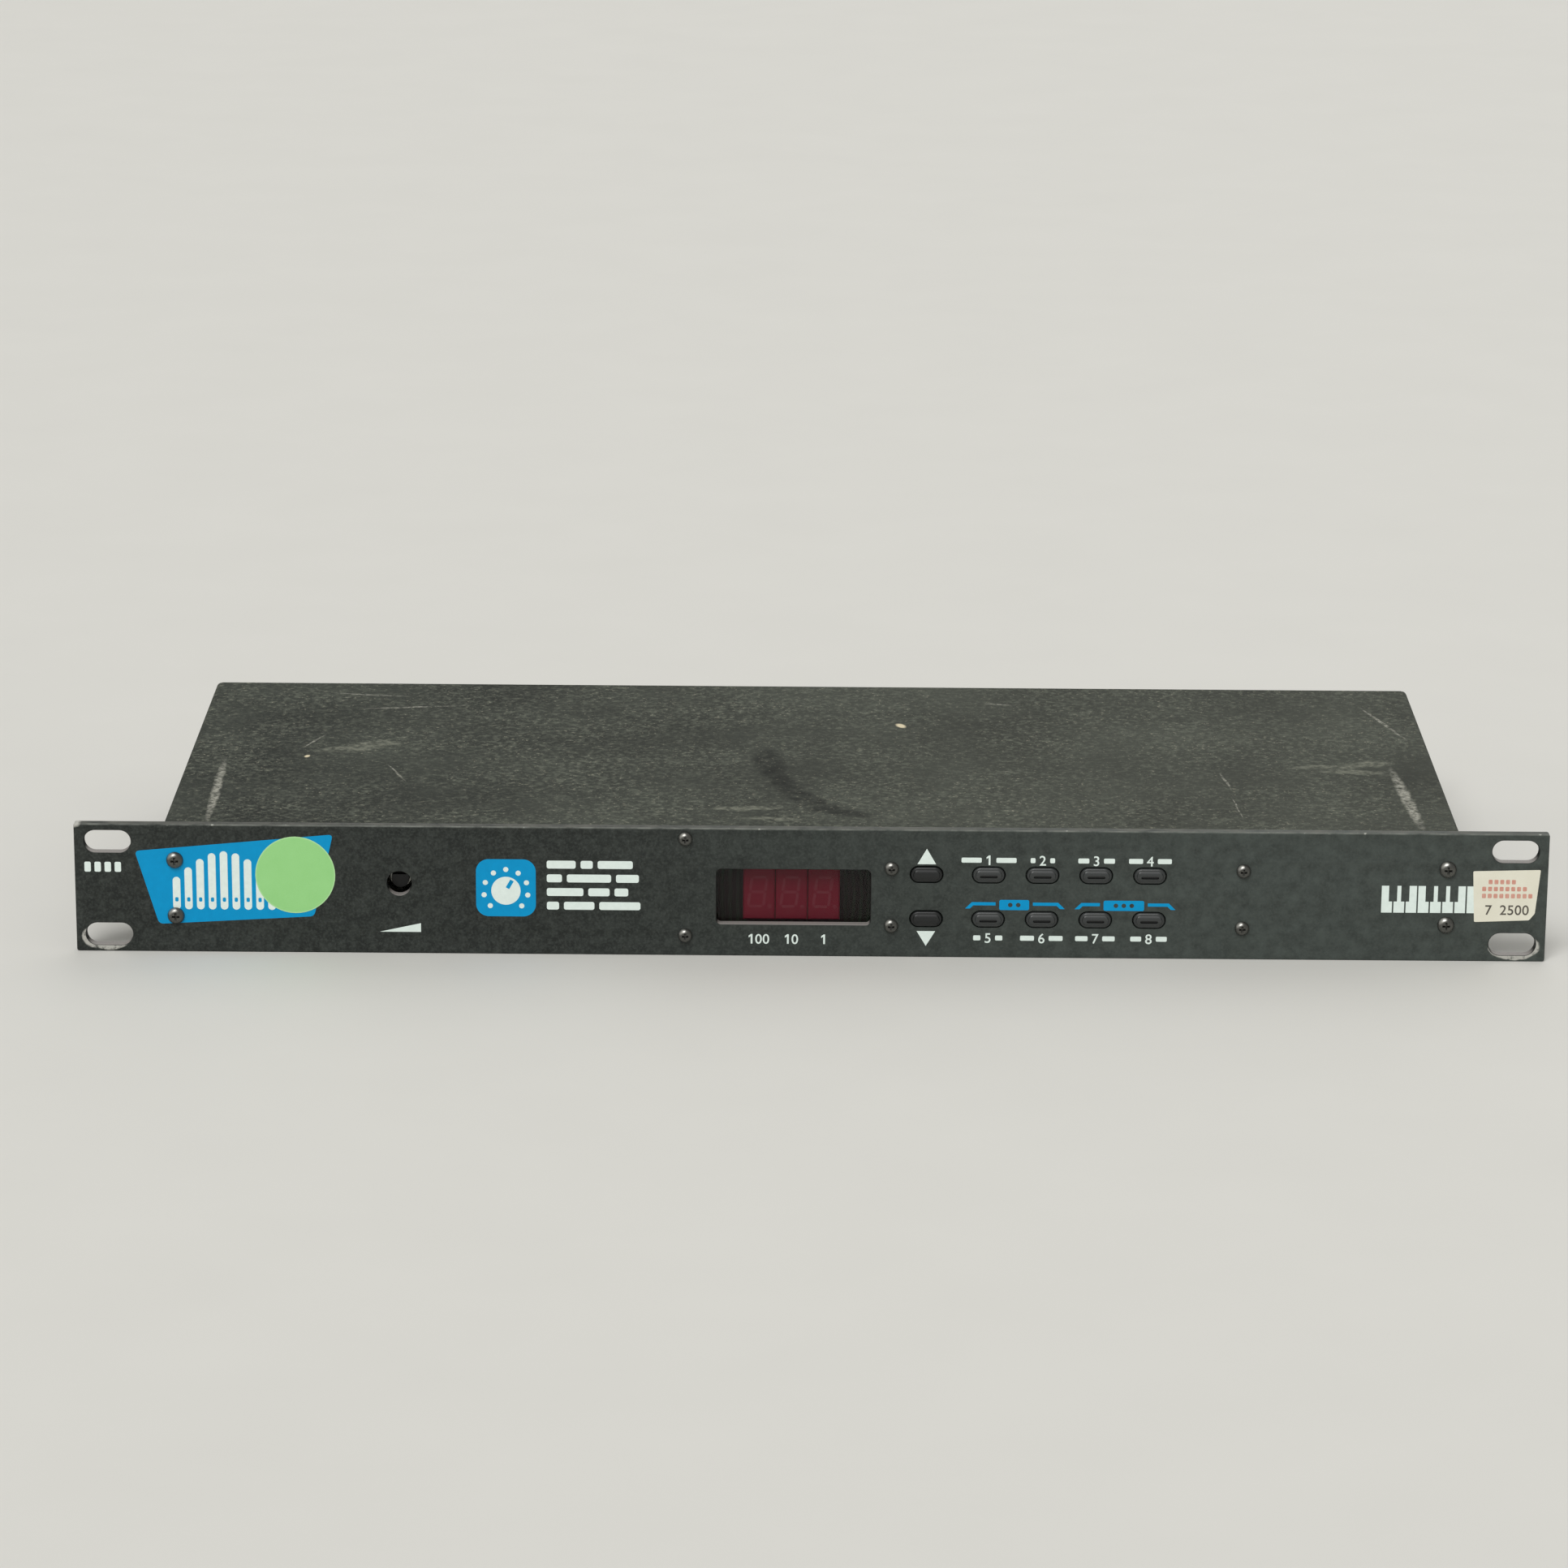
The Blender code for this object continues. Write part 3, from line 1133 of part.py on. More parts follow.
def make_jacks():
    """Quarter-inch jacks: a square body on the board, a threaded bush through the wall, and its nut."""
    body = rectangle(JACK_BODY_WIDTH, 2 * JACK_HEIGHT, JACK_SIDES)
    bush = circle(JACK_BUSH_RADIUS, JACK_SIDES)
    bore = circle(JACK_BORE_RADIUS, JACK_SIDES)
    front = TRAY_WALL_INNER - SEAT_GAP
    stations = [
        (body, front - JACK_BODY_DEPTH),
        (body, front),
        (bush, front),
        (bush, JACK_RIM),
        (bore, JACK_RIM),
        (bore, JACK_RIM - JACK_BORE_DEPTH),
    ]
    mesh = lofted("output_jack", along_y, stations)
    nut_front = TRAY_WALL_OUTER + SEAT_GAP
    nut = nut_mesh("jack_nut", JACK_NUT_WIDTH, JACK_BUSH_RADIUS, nut_front, nut_front + JACK_NUT_THICKNESS)
    for name, x in jack_places():
        place = (x, 0.0, COMPONENT_BASE + JACK_HEIGHT)
        add(f"output_jack_{name}", mesh, black_plastic(), place)
        add(f"jack_nut_{name}", nut, nickel(), place)


def make_power_inlet():
    """A barrel inlet: a bored nose in the wall with a centre pin."""
    body = rectangle(INLET_BODY_WIDTH, 2 * INLET_HEIGHT, JACK_SIDES)
    nose = circle(INLET_NOSE_RADIUS, JACK_SIDES)
    bore = circle(INLET_BORE_RADIUS, JACK_SIDES)
    pin = circle(INLET_PIN_RADIUS, JACK_SIDES)
    front = TRAY_WALL_INNER - SEAT_GAP
    face = TRAY_WALL_OUTER
    floor = face - INLET_BORE_DEPTH
    stations = [
        (body, front - INLET_BODY_DEPTH),
        (body, front),
        (nose, front),
        (nose, face),
        (bore, face),
        (bore, floor),
        (pin, floor),
        (pin, face - INLET_PIN_SETBACK),
    ]
    place = (INLET_X, 0.0, COMPONENT_BASE + INLET_HEIGHT)
    add("power_inlet", lofted("power_inlet", along_y, stations), black_plastic(), place)


def make_power_switch():
    """A snap-in rocker switch: a bezel outside the wall, a hollow body behind it, and the rocker."""
    bezel_width = POWER_BODY_WIDTH + 2 * (WALL_CUT_GAP + POWER_BEZEL_BORDER)
    bezel_height = POWER_BODY_HEIGHT + 2 * (WALL_CUT_GAP + POWER_BEZEL_BORDER)
    bezel_back = TRAY_WALL_OUTER + SEAT_GAP
    bezel_face = bezel_back + POWER_BEZEL_THICKNESS
    body = rectangle(POWER_BODY_WIDTH, POWER_BODY_HEIGHT)
    cavity_width = POWER_BODY_WIDTH - 2 * POWER_WALL
    cavity = rectangle(cavity_width, POWER_BODY_HEIGHT - 2 * POWER_WALL)
    bezel = rectangle(bezel_width, bezel_height)
    stations = [
        (body, bezel_back - POWER_BODY_DEPTH),
        (body, bezel_back),
        (bezel, bezel_back),
        (bezel, bezel_face),
        (cavity, bezel_face),
        (cavity, bezel_face - POWER_CAVITY_DEPTH),
    ]
    place = (POWER_X, 0.0, POWER_RISE)
    frame = add("power_switch_body", lofted("power_switch_body", along_y, stations), black_plastic(), place)
    pivot = bezel_face - ROCKER_PIVOT_DEPTH
    hole = moved(circle(ROCKER_PIN_RADIUS + SLIDE_GAP, SCREW_SIDES), pivot, 0)
    reach = cavity_width / 2 + ROCKER_PIN_LENGTH
    run = [(hole, -reach, reach)]
    shape(frame, "DIFFERENCE", "power_pivot_holes", prisms("power_pivot_holes", along_x, run))

    face = ROCKER_FACE_REACH
    high = ROCKER_HALF_HEIGHT
    centre_face = face - ROCKER_DISH
    shoulder = ROCKER_HUB_RADIUS / 2
    lip = high - ROCKER_LIP
    hub = arc(ROCKER_HUB_RADIUS, math.pi - ROCKER_HUB_SPREAD, math.pi + ROCKER_HUB_SPREAD, ROCKER_HUB_STEPS)
    outline = [(face, -high), (face, -lip), (centre_face, 0.0), (face, lip), (face, high)]
    outline += [(shoulder, high - shoulder)] + hub + [(shoulder, shoulder - high)]
    half = cavity_width / 2 - ROCKER_SIDE_GAP
    rocker = add(
        "power_rocker",
        prisms("power_rocker", along_x, [(outline, -half, half)]),
        black_plastic(),
        (POWER_X, pivot, POWER_RISE),
    )
    pin = circle(ROCKER_PIN_RADIUS, SCREW_SIDES)
    ends = half + ROCKER_PIN_LENGTH
    guide = shape(rocker, "UNION", "rocker_pins", prisms("rocker_pins", along_x, [(pin, -ends, ends)]))
    rocker.rotation_euler.x = -ROCKER_HALF_ANGLE
    guide.rotation_euler.x = -ROCKER_HALF_ANGLE


# Cables inside


def ribbon_main_y():
    return MAIN_BOARD_FRONT + RIBBON_MAIN_SETBACK


def bezier(points, steps):
    """Points along the cubic curve through four control points."""
    a, b, c, d = [Vector(point) for point in points]
    made = []
    for i in range(steps + 1):
        t = i / steps
        s = 1 - t
        made.append(a * s**3 + b * (3 * s * s * t) + c * (3 * s * t * t) + d * t**3)
    return made


def make_ribbon_cable():
    """A flat cable in one free curve from the front board's header to the main board's."""
    plug_front = BOARD_BACK + HEADER_HEIGHT + SEAT_GAP
    plug_back = plug_front + RIBBON_PLUG_DEPTH
    drop = MAIN_BOARD_TOP + HEADER_HEIGHT + SEAT_GAP
    drop_top = drop + RIBBON_PLUG_DEPTH
    far = ribbon_main_y()
    start = (plug_back - FUSE_DEPTH, RIBBON_HEADER_RISE)
    end = (far, drop_top - FUSE_DEPTH)
    reach = far - plug_back
    leaving = (start[0] + reach * RIBBON_START_SHARE, start[1])
    arriving = (far, end[1] + reach * RIBBON_END_SHARE)
    route = bezier([start, leaving, arriving, end], RIBBON_STEPS)
    half_thickness = RIBBON_THICKNESS / 2
    upper = []
    lower = []
    for i, point in enumerate(route):
        heading = (route[min(i + 1, RIBBON_STEPS)] - route[max(i - 1, 0)]).normalized()
        normal = Vector((-heading.y, heading.x)) * half_thickness
        upper.append(tuple(point + normal))
        lower.append(tuple(point - normal))
    half = RIBBON_WIDTH / 2
    run = (lower + upper[::-1], RIBBON_X - half, RIBBON_X + half)
    ribbon = add("ribbon_cable", prisms("ribbon_cable", along_x, [run]), ribbon_grey())

    half = RIBBON_PLUG_LENGTH / 2
    low = (RIBBON_X - half, plug_front, RIBBON_HEADER_RISE - RIBBON_PLUG_HEIGHT / 2)
    high = (RIBBON_X + half, plug_back, RIBBON_HEADER_RISE + RIBBON_PLUG_HEIGHT / 2)
    shape(ribbon, "UNION", "ribbon_front_plug", box("ribbon_front_plug", low, high))
    low = (RIBBON_X - half, far - RIBBON_PLUG_HEIGHT / 2, drop)
    high = (RIBBON_X + half, far + RIBBON_PLUG_HEIGHT / 2, drop_top)
    shape(ribbon, "UNION", "ribbon_main_plug", box("ribbon_main_plug", low, high))


def make_volume_lead():
    """A round lead from the back of the volume control to the main board's front edge."""
    pot_back = BOARD_FRONT + TRAY_SHEET + SEAT_GAP + POT_BODY_DEPTH
    start = Vector((VOLUME_X, pot_back + SEAT_GAP, VOLUME_Z))
    end = Vector(
        (
            MAIN_BOARD_LEFT + LEAD_MAIN_INSET,
            MAIN_BOARD_FRONT + LEAD_MAIN_INSET,
            MAIN_BOARD_TOP + 2 * SEAT_GAP,
        )
    )
    reach = end.y - start.y
    leaving = start + Vector((0, reach * LEAD_START_SHARE, 0))
    arriving = end + Vector((0, 0, reach * LEAD_END_SHARE))
    curve = bpy.data.curves.new("volume_lead", "CURVE")
    curve.dimensions = "3D"
    curve.bevel_depth = LEAD_RADIUS
    curve.bevel_resolution = LEAD_BEVEL_STEPS
    curve.use_fill_caps = True
    curve.render_resolution_u = 0
    spline = curve.splines.new("POLY")
    route = bezier([start, leaving, arriving, end], LEAD_STEPS)
    spline.points.add(len(route) - 1)
    for point, place in zip(spline.points, route):
        point.co = (*place, 1.0)
    add("volume_lead", curve, ribbon_grey())


clear_scene()
add_origin()
make_front_panel()
make_chassis_tray()
make_top_cover()
make_screws()
make_display()
make_front_board()
make_keys()
make_switches()
make_volume_control()
make_main_board()
make_heat_sink()
make_din_sockets()
make_jacks()
make_power_inlet()
make_power_switch()
make_ribbon_cable()
make_volume_lead()
bpy.context.view_layer.update()
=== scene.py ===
"""Looks of a one-unit rack organ sound module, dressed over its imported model.

The sections follow the module as it goes together: the folded tray, the boards
and sockets in it, the cover, the front panel with its print, the display, the
keys and the screws. The floor, the lamps and the camera come last.
"""

import math

import bmesh
import bpy
import numpy as np
from mathutils import Matrix, Vector
from mathutils.geometry import tessellate_polygon


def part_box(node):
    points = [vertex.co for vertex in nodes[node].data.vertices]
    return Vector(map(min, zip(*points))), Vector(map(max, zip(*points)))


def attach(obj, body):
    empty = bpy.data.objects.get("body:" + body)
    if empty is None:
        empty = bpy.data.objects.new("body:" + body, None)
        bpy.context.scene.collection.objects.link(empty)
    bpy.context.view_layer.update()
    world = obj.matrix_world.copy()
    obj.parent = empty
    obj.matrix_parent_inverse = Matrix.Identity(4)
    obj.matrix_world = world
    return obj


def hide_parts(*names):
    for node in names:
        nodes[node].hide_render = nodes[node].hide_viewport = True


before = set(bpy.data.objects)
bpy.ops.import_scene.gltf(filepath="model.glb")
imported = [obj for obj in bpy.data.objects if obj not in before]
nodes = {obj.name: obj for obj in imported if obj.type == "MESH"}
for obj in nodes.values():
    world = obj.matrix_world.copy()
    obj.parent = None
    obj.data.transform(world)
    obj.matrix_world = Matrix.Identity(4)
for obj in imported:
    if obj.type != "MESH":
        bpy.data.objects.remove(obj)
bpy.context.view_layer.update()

# Chassis tray
# Folded from 1.2 mm steel sheet, with its rear wall and side walls bent up, and sprayed with
# black enamel after folding.

MM = 0.001
ENAMEL_PEEL = 0.5 * MM
ENAMEL_PEEL_HEIGHT = 0.04 * MM
ENAMEL_CLOUD = 30.0 * MM
ENAMEL_DARK = "#262826"
ENAMEL_LIGHT = "#343633"
ENAMEL_SPECK = "#4A4C48"


def linear(code):
    """An sRGB hex colour as linear red, green, blue and an alpha of 1."""
    channels = [int(code[i : i + 2], 16) / 255 for i in (1, 3, 5)]
    return [c / 12.92 if c <= 0.04045 else ((c + 0.055) / 1.055) ** 2.4 for c in channels] + [1.0]


def feed(material, node, feeds):
    """Sets a node's sockets, each to a value, a hex colour, or the node or output that feeds it.
    A node feeds from its first output in use."""
    for socket, source in feeds.items():
        if isinstance(source, bpy.types.Node):
            source = next(output for output in source.outputs if output.enabled)
        if isinstance(source, bpy.types.NodeSocket):
            material.node_tree.links.new(source, node.inputs[socket])
        elif isinstance(source, str):
            node.inputs[socket].default_value = linear(source)
        else:
            node.inputs[socket].default_value = source


def add_node(material, kind, feeds, **settings):
    """Adds a node of a kind with its settings, and feeds its sockets."""
    made = material.node_tree.nodes.new("ShaderNode" + kind)
    for name, value in settings.items():
        setattr(made, name, value)
    feed(material, made, feeds)
    return made


def new_material(name, surface):
    """A material, its shader with the surface's values, and its object coordinates, which are
    metres in the frame."""
    made = bpy.data.materials.new(name)
    made.use_nodes = True
    shader = made.node_tree.nodes["Principled BSDF"]
    feed(made, shader, surface)
    place = add_node(made, "TexCoord", {}).outputs["Object"]
    return made, shader, place


def spatter(material, place, size, low=0.0, high=1.0, most=1.0, detail=2.0):
    """A mask of lumps about one size across: noise that counts for nothing up to the low mark
    and for the most from the high mark on."""
    feeds = {"Vector": place, "Scale": 1 / size, "Detail": detail, "Roughness": 0.6}
    lumps = add_node(material, "TexNoise", feeds)
    feeds = {"Value": lumps, "From Min": low, "From Max": high, "To Max": most}
    return add_node(material, "MapRange", feeds)


def coat(material, shader, colour, height, depth):
    """Gives a surface its colour, and relief of one depth that follows a pattern's height."""
    relief = add_node(material, "Bump", {"Height": height, "Distance": depth, "Strength": 1.0})
    feed(material, shader, {"Base Color": colour, "Normal": relief})


def dress(material, *names):
    """Gives CAD nodes one material all over."""
    for name in names:
        for slot in nodes[name].material_slots:
            slot.material = material


# Satin paint with the fine peel that a spray gun leaves, and dust caught in it here and there.
# A Mix of colours takes its share in socket 0, and its two colours in sockets 6 and 7.
enamel, shader, place = new_material("black_enamel", {"Roughness": 0.5, "IOR": 1.5})
cloud = spatter(enamel, place, ENAMEL_CLOUD, detail=4.0)
tone = add_node(enamel, "Mix", {0: cloud, 6: ENAMEL_DARK, 7: ENAMEL_LIGHT}, data_type="RGBA")
specks = spatter(enamel, place, ENAMEL_PEEL, low=0.55, high=0.95, detail=3.0)
tone = add_node(enamel, "Mix", {0: specks, 6: tone, 7: ENAMEL_SPECK}, data_type="RGBA")
peel = spatter(enamel, place, ENAMEL_PEEL, detail=3.0)
coat(enamel, shader, tone, peel, ENAMEL_PEEL_HEIGHT)
dress(enamel, "chassis_tray")

# Boards inside the tray
# Glass laminate with green solder mask, cut by router. Both stand off the metal on posts, and
# carry the sockets, the chips and the push switches.

TRACK_PITCH = 2.54 * MM
TRACK_HEIGHT = 0.035 * MM
MASK_GREEN = "#16492F"
MASK_TRACK_GREEN = "#2A6B45"

# A smooth lacquer, slightly paler and raised over the copper tracks. The wave's bands are pi
# over ten apart at a scale of 1.
laminate, shader, place = new_material("solder_mask_laminate", {"Roughness": 0.3, "IOR": 1.55})
feeds = {"Vector": place, "Scale": math.pi / 10 / TRACK_PITCH, "Distortion": 3.0, "Detail": 2.0}
bands = add_node(laminate, "TexWave", feeds).outputs["Fac"]
tracks = add_node(laminate, "MapRange", {"Value": bands, "From Min": 0.55, "From Max": 0.7})
feeds = {0: tracks, 6: MASK_GREEN, 7: MASK_TRACK_GREEN}
coat(laminate, shader, add_node(laminate, "Mix", feeds, data_type="RGBA"), tracks, TRACK_HEIGHT)
dress(laminate, "main_board", "front_board")

# Heat sink, bracket, volume control, cables and switches
# The sink is an extruded aluminium comb, black anodised. The bracket and the control's case
# are zinc plated steel. Both cables have grey vinyl jackets, and the switches nylon cases.

RIBBON_PITCH = 1.27 * MM


def two_tone(name, surface, size, dark, pale, depth, detail=2.0, stretch=(1.0, 1.0, 1.0)):
    """A material of two tones mixed by lumps of one size, which stand up by a depth. A stretch
    below 1 draws the lumps out along that axis."""
    made, shader, place = new_material(name, surface)
    drawn = add_node(made, "Mapping", {"Vector": place, "Scale": stretch})
    lumps = spatter(made, drawn, size, detail=detail)
    tone = add_node(made, "Mix", {0: lumps, 6: dark, 7: pale}, data_type="RGBA")
    coat(made, shader, tone, lumps, depth)
    return made


# A dull black that keeps the metal's sheen, with the die's faint lines along the extrusion,
# drawn coarser than real.
anodised = two_tone(
    "black_anodised_aluminium",
    {"Roughness": 0.42, "Metallic": 0.6},
    size=0.4 * MM,
    dark="#1C1C1D",
    pale="#2C2C2E",
    depth=0.01 * MM,
    stretch=(1.0, 1.0, 0.02),
)
dress(anodised, "heat_sink")

# A cold grey metal with the soft mottle of the plating bath.
zinc = two_tone(
    "zinc_plated_steel",
    {"Roughness": 0.38, "Metallic": 1.0},
    size=3.0 * MM,
    dark="#A9A9A2",
    pale="#C9C9C2",
    depth=0.01 * MM,
    detail=3.0,
)
dress(zinc, "pot_bracket", "volume_pot")

# Dull grey plastic, ribbed about once for each wire.
vinyl = two_tone(
    "grey_vinyl_jacket",
    {"Roughness": 0.55, "IOR": 1.53},
    size=RIBBON_PITCH,
    dark="#8A8A88",
    pale="#A2A2A0",
    depth=0.1 * MM,
    stretch=(1.0, 0.02, 0.02),
)
dress(vinyl, "ribbon_cable", "volume_lead")

# An even, slightly waxy black. The mould's sparked grain is finer than this, and is drawn
# coarse enough to show.
switch_nylon = two_tone(
    "black_nylon",
    {"Roughness": 0.5, "IOR": 1.53},
    size=0.8 * MM,
    dark="#171717",
    pale="#222222",
    depth=0.01 * MM,
)
dress(switch_nylon, *[name for name in nodes if name.startswith("switch_")])

# Round sockets on the rear wall
# Three five-pin sockets moulded in black nylon: a square body behind the wall, a round nose
# through it, a ring-shaped slot for the plug's shell, and five holes on half a circle.

ARC_POINTS = 13
MERGE_DISTANCE = 1e-6
SHARP_ANGLE = math.radians(32.0)
DIN_SLOT_OUTER = 13.4 * MM
DIN_SLOT_INNER = 10.0 * MM
DIN_SLOT_DEPTH = 7.0 * MM
DIN_NOSE = 15.0 * MM
DIN_PINS = 5
DIN_PIN_CIRCLE = 3.3 * MM
DIN_PIN_BORE = 1.5 * MM
DIN_PIN_DEPTH = 6.0 * MM
DIN_BODY_DEPTH = 13.0 * MM
DIN_BODY_CORNER = 0.8 * MM
DIN_EDGE = 0.3 * MM


def ring(width, height, radius, y, x=0.0, z=0.0):
    """A rounded rectangle square to Y: four quarter circles about points set in by the radius.
    A radius of half of the height makes a pill, and of half of both sides a circle."""
    turn = np.linspace(0.0, np.pi / 2, ARC_POINTS)
    angle = (np.arange(4)[:, None] * np.pi / 2 + turn).ravel()
    corner = np.repeat([[1, 1], [-1, 1], [-1, -1], [1, -1]], ARC_POINTS, axis=0)
    inset = np.array([width / 2 - radius, height / 2 - radius])
    flat = corner * inset + radius * np.column_stack([np.cos(angle), np.sin(angle)])
    return np.column_stack([flat[:, 0] + x, np.full(len(flat), y), flat[:, 1] + z])


def disc_ring(diameter, y, x=0.0, z=0.0):
    """A circle square to Y, with as many points as a rounded rectangle."""
    return ring(diameter, diameter, diameter / 2, y, x, z)


def skin(rings, slot=0):
    """A surface of rows of points: each ring is one row, and each point joins the same point of
    the next row."""
    rows, count = len(rings), len(rings[0])
    here = np.arange(rows - 1)[:, None] * count + np.arange(count)
    beside = np.arange(rows - 1)[:, None] * count + (np.arange(count) + 1) % count
    faces = np.stack([here, beside, beside + count, here + count], axis=-1).reshape(-1, 4)
    return np.concatenate(rings), faces, slot, True


def lid(rings, slot=0):
    """A flat face inside the first ring and outside the others."""
    faces = tessellate_polygon([[Vector(point) for point in points] for points in rings])
    return np.concatenate(rings), np.array(faces), slot, False


def make_mesh(name, shells, sharp=SHARP_ANGLE):
    """One closed mesh of several shells, with shared edges merged and faces pointing out. A shell
    is its points, its faces, its material's slot and whether it is smooth."""
    points, faces, slots, smooth = zip(*shells)
    starts = np.cumsum([0] + [len(part) for part in points[:-1]])
    joined = [face for part, start in zip(faces, starts) for face in (part + start).tolist()]
    counts = [len(part) for part in faces]
    mesh = bpy.data.meshes.new(name)
    mesh.from_pydata(np.concatenate(points).tolist(), [], joined)
    mesh.polygons.foreach_set("material_index", np.repeat(slots, counts))
    mesh.polygons.foreach_set("use_smooth", np.repeat(smooth, counts))
    bm = bmesh.new()
    bm.from_mesh(mesh)
    bmesh.ops.remove_doubles(bm, verts=bm.verts, dist=MERGE_DISTANCE)
    bmesh.ops.recalc_face_normals(bm, faces=bm.faces)
    bm.to_mesh(mesh)
    bm.free()
    mesh.set_sharp_from_angle(angle=sharp)
    return mesh


def make_piece(name, mesh, materials, body="root"):
    """Puts a mesh in the scene as a piece that rides on a body."""
    piece = bpy.data.objects.new(name, mesh)
    bpy.context.scene.collection.objects.link(piece)
    for material in materials:
        mesh.materials.append(material)
    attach(piece, body)
    return piece


def middle(name):
    """The middle of a CAD node's box in X and Z, and its front and back in Y."""
    low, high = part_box(name)
    return (low[0] + high[0]) / 2, (low[2] + high[2]) / 2, low[1], high[1]


# Smoother than the switches, as it comes from a polished mould, with flow marks too fine to
# show, which are drawn coarser.
socket_nylon = two_tone(
    "moulded_socket_nylon",
    {"Roughness": 0.38, "IOR": 1.53},
    size=0.6 * MM,
    dark="#161616",
    pale="#202020",
    depth=0.01 * MM,
)

for name in ("din_socket_1", "din_socket_2", "din_socket_3"):
    low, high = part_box(name)
    x, z, front, rear = middle(name)
    body_back = front + DIN_BODY_DEPTH
    width, height = high[0] - low[0], high[2] - low[2]
    nose = [
        ring(width, height, DIN_BODY_CORNER, front, x, z),
        ring(width, height, DIN_BODY_CORNER, body_back, x, z),
        disc_ring(DIN_NOSE, body_back, x, z),
        disc_ring(DIN_NOSE, rear - DIN_EDGE, x, z),
        disc_ring(DIN_NOSE - 2 * DIN_EDGE, rear, x, z),
        disc_ring(DIN_SLOT_OUTER, rear, x, z),
        disc_ring(DIN_SLOT_OUTER, rear - DIN_SLOT_DEPTH, x, z),
        disc_ring(DIN_SLOT_INNER, rear - DIN_SLOT_DEPTH, x, z),
        disc_ring(DIN_SLOT_INNER, rear - DIN_EDGE, x, z),
        disc_ring(DIN_SLOT_INNER - 2 * DIN_EDGE, rear, x, z),
    ]
    shells = [lid(nose[:1]), skin(nose)]
    mouths = []
    for angle in np.linspace(math.pi, 2 * math.pi, DIN_PINS):
        pin_x = x + DIN_PIN_CIRCLE * math.cos(angle)
        pin_z = z + DIN_PIN_CIRCLE * math.sin(angle)
        bore = [disc_ring(DIN_PIN_BORE, y, pin_x, pin_z) for y in (rear, rear - DIN_PIN_DEPTH)]
        mouths.append(bore[0])
        shells += [skin(bore), lid(bore[1:])]
    shells.append(lid([nose[-1], *mouths]))
    socket = make_piece(
        f"moulded_{name}", make_mesh(name, shells), [socket_nylon]
    )
    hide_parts(name)

# Output jacks and their nuts
# Black moulded jack bodies with a threaded bush through the wall. The nut is nickel plated
# brass, a hexagon whose corners are turned off at 30 degrees.

JACK_NUT = 13.0 * MM
JACK_BUSH = 9.4 * MM
JACK_BORE = 6.5 * MM
JACK_BORE_LIP = 0.5 * MM
JACK_BODY_DEPTH = 26.0 * MM
JACK_BORE_DEPTH = 30.0 * MM
JACK_BODY_CORNER = 0.8 * MM
JACK_THREAD_PITCH = 1.0 * MM
JACK_THREAD_DEPTH = 0.35 * MM
JACK_PLAIN_END = 0.6 * MM
RINGS_PER_PITCH = 4
NUT_CHAMFER_SLOPE = math.tan(math.radians(30.0))
NUT_CHAMFER_START = 0.46
NUT_STATIONS = (0.0, 0.04, 0.08, 0.12, 0.5, 0.88, 0.92, 0.96, 1.0)
NUT_SHARP_ANGLE = math.radians(20.0)


def thread_rings(diameter, pitch, depth, start, end, x, z):
    """Rings along a bush whose radius goes in and out once in each pitch, as a thread does."""
    count = max(round((end - start) / pitch), 1) * RINGS_PER_PITCH
    along = np.linspace(start, end, count + 1)
    shares = 0.5 - 0.5 * np.cos(2 * np.pi * (along - start) / pitch)
    return [disc_ring(diameter - 2 * depth * s, y, x, z) for y, s in zip(along, shares)]


# Bright and slightly warm. The lathe's lines under the plating are drawn coarser than real.
nickel = two_tone(
    "nickel_plated_brass",
    {"Roughness": 0.22, "Metallic": 1.0},
    size=0.25 * MM,
    dark="#B4B2A8",
    pale="#CBC9BF",
    depth=0.004 * MM,
)

for side in ("left", "right"):
    name = f"output_jack_{side}"
    low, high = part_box(name)
    x, z, front, rear = middle(name)
    width, height = high[0] - low[0], high[2] - low[2]
    body_back = front + JACK_BODY_DEPTH
    thread_end = rear - JACK_PLAIN_END
    rings = [
        ring(width, height, JACK_BODY_CORNER, front, x, z),
        ring(width, height, JACK_BODY_CORNER, body_back, x, z),
        *thread_rings(
            JACK_BUSH, JACK_THREAD_PITCH, JACK_THREAD_DEPTH, body_back, thread_end, x, z
        ),
        disc_ring(JACK_BUSH - 2 * JACK_THREAD_DEPTH, rear, x, z),
        disc_ring(JACK_BORE + 2 * JACK_BORE_LIP, rear, x, z),
        disc_ring(JACK_BORE, rear - JACK_BORE_LIP, x, z),
        disc_ring(JACK_BORE, rear - JACK_BORE_DEPTH, x, z),
    ]
    shells = [lid(rings[:1]), skin(rings), lid(rings[-1:])]
    jack = make_piece(
        f"moulded_{name}", make_mesh(name, shells), [socket_nylon]
    )
    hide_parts(name)

    name = f"jack_nut_{side}"
    x, z, front, rear = middle(name)
    unit = disc_ring(2.0, 0.0)
    angle = np.arctan2(unit[:, 2], unit[:, 0])
    to_flat = (angle + np.pi / 6) % (np.pi / 3) - np.pi / 6
    hexagon = JACK_NUT / 2 / np.cos(to_flat)
    outline = []
    for share in NUT_STATIONS:
        from_end = min(share, 1.0 - share) * (rear - front)
        cone = JACK_NUT * NUT_CHAMFER_START + from_end / NUT_CHAMFER_SLOPE
        radius = np.minimum(hexagon, cone)[:, None]
        outline.append(unit * radius + (x, front + share * (rear - front), z))
    bore = [disc_ring(JACK_BUSH, y, x, z) for y in (rear, front)]
    nut_mesh = make_mesh(name, [skin([bore[1], *outline, *bore])], NUT_SHARP_ANGLE)
    nut = make_piece(f"turned_{name}", nut_mesh, [nickel])
    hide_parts(name)

# Power inlet
# A barrel inlet moulded in black nylon, with a plated centre pin set back in its bore.

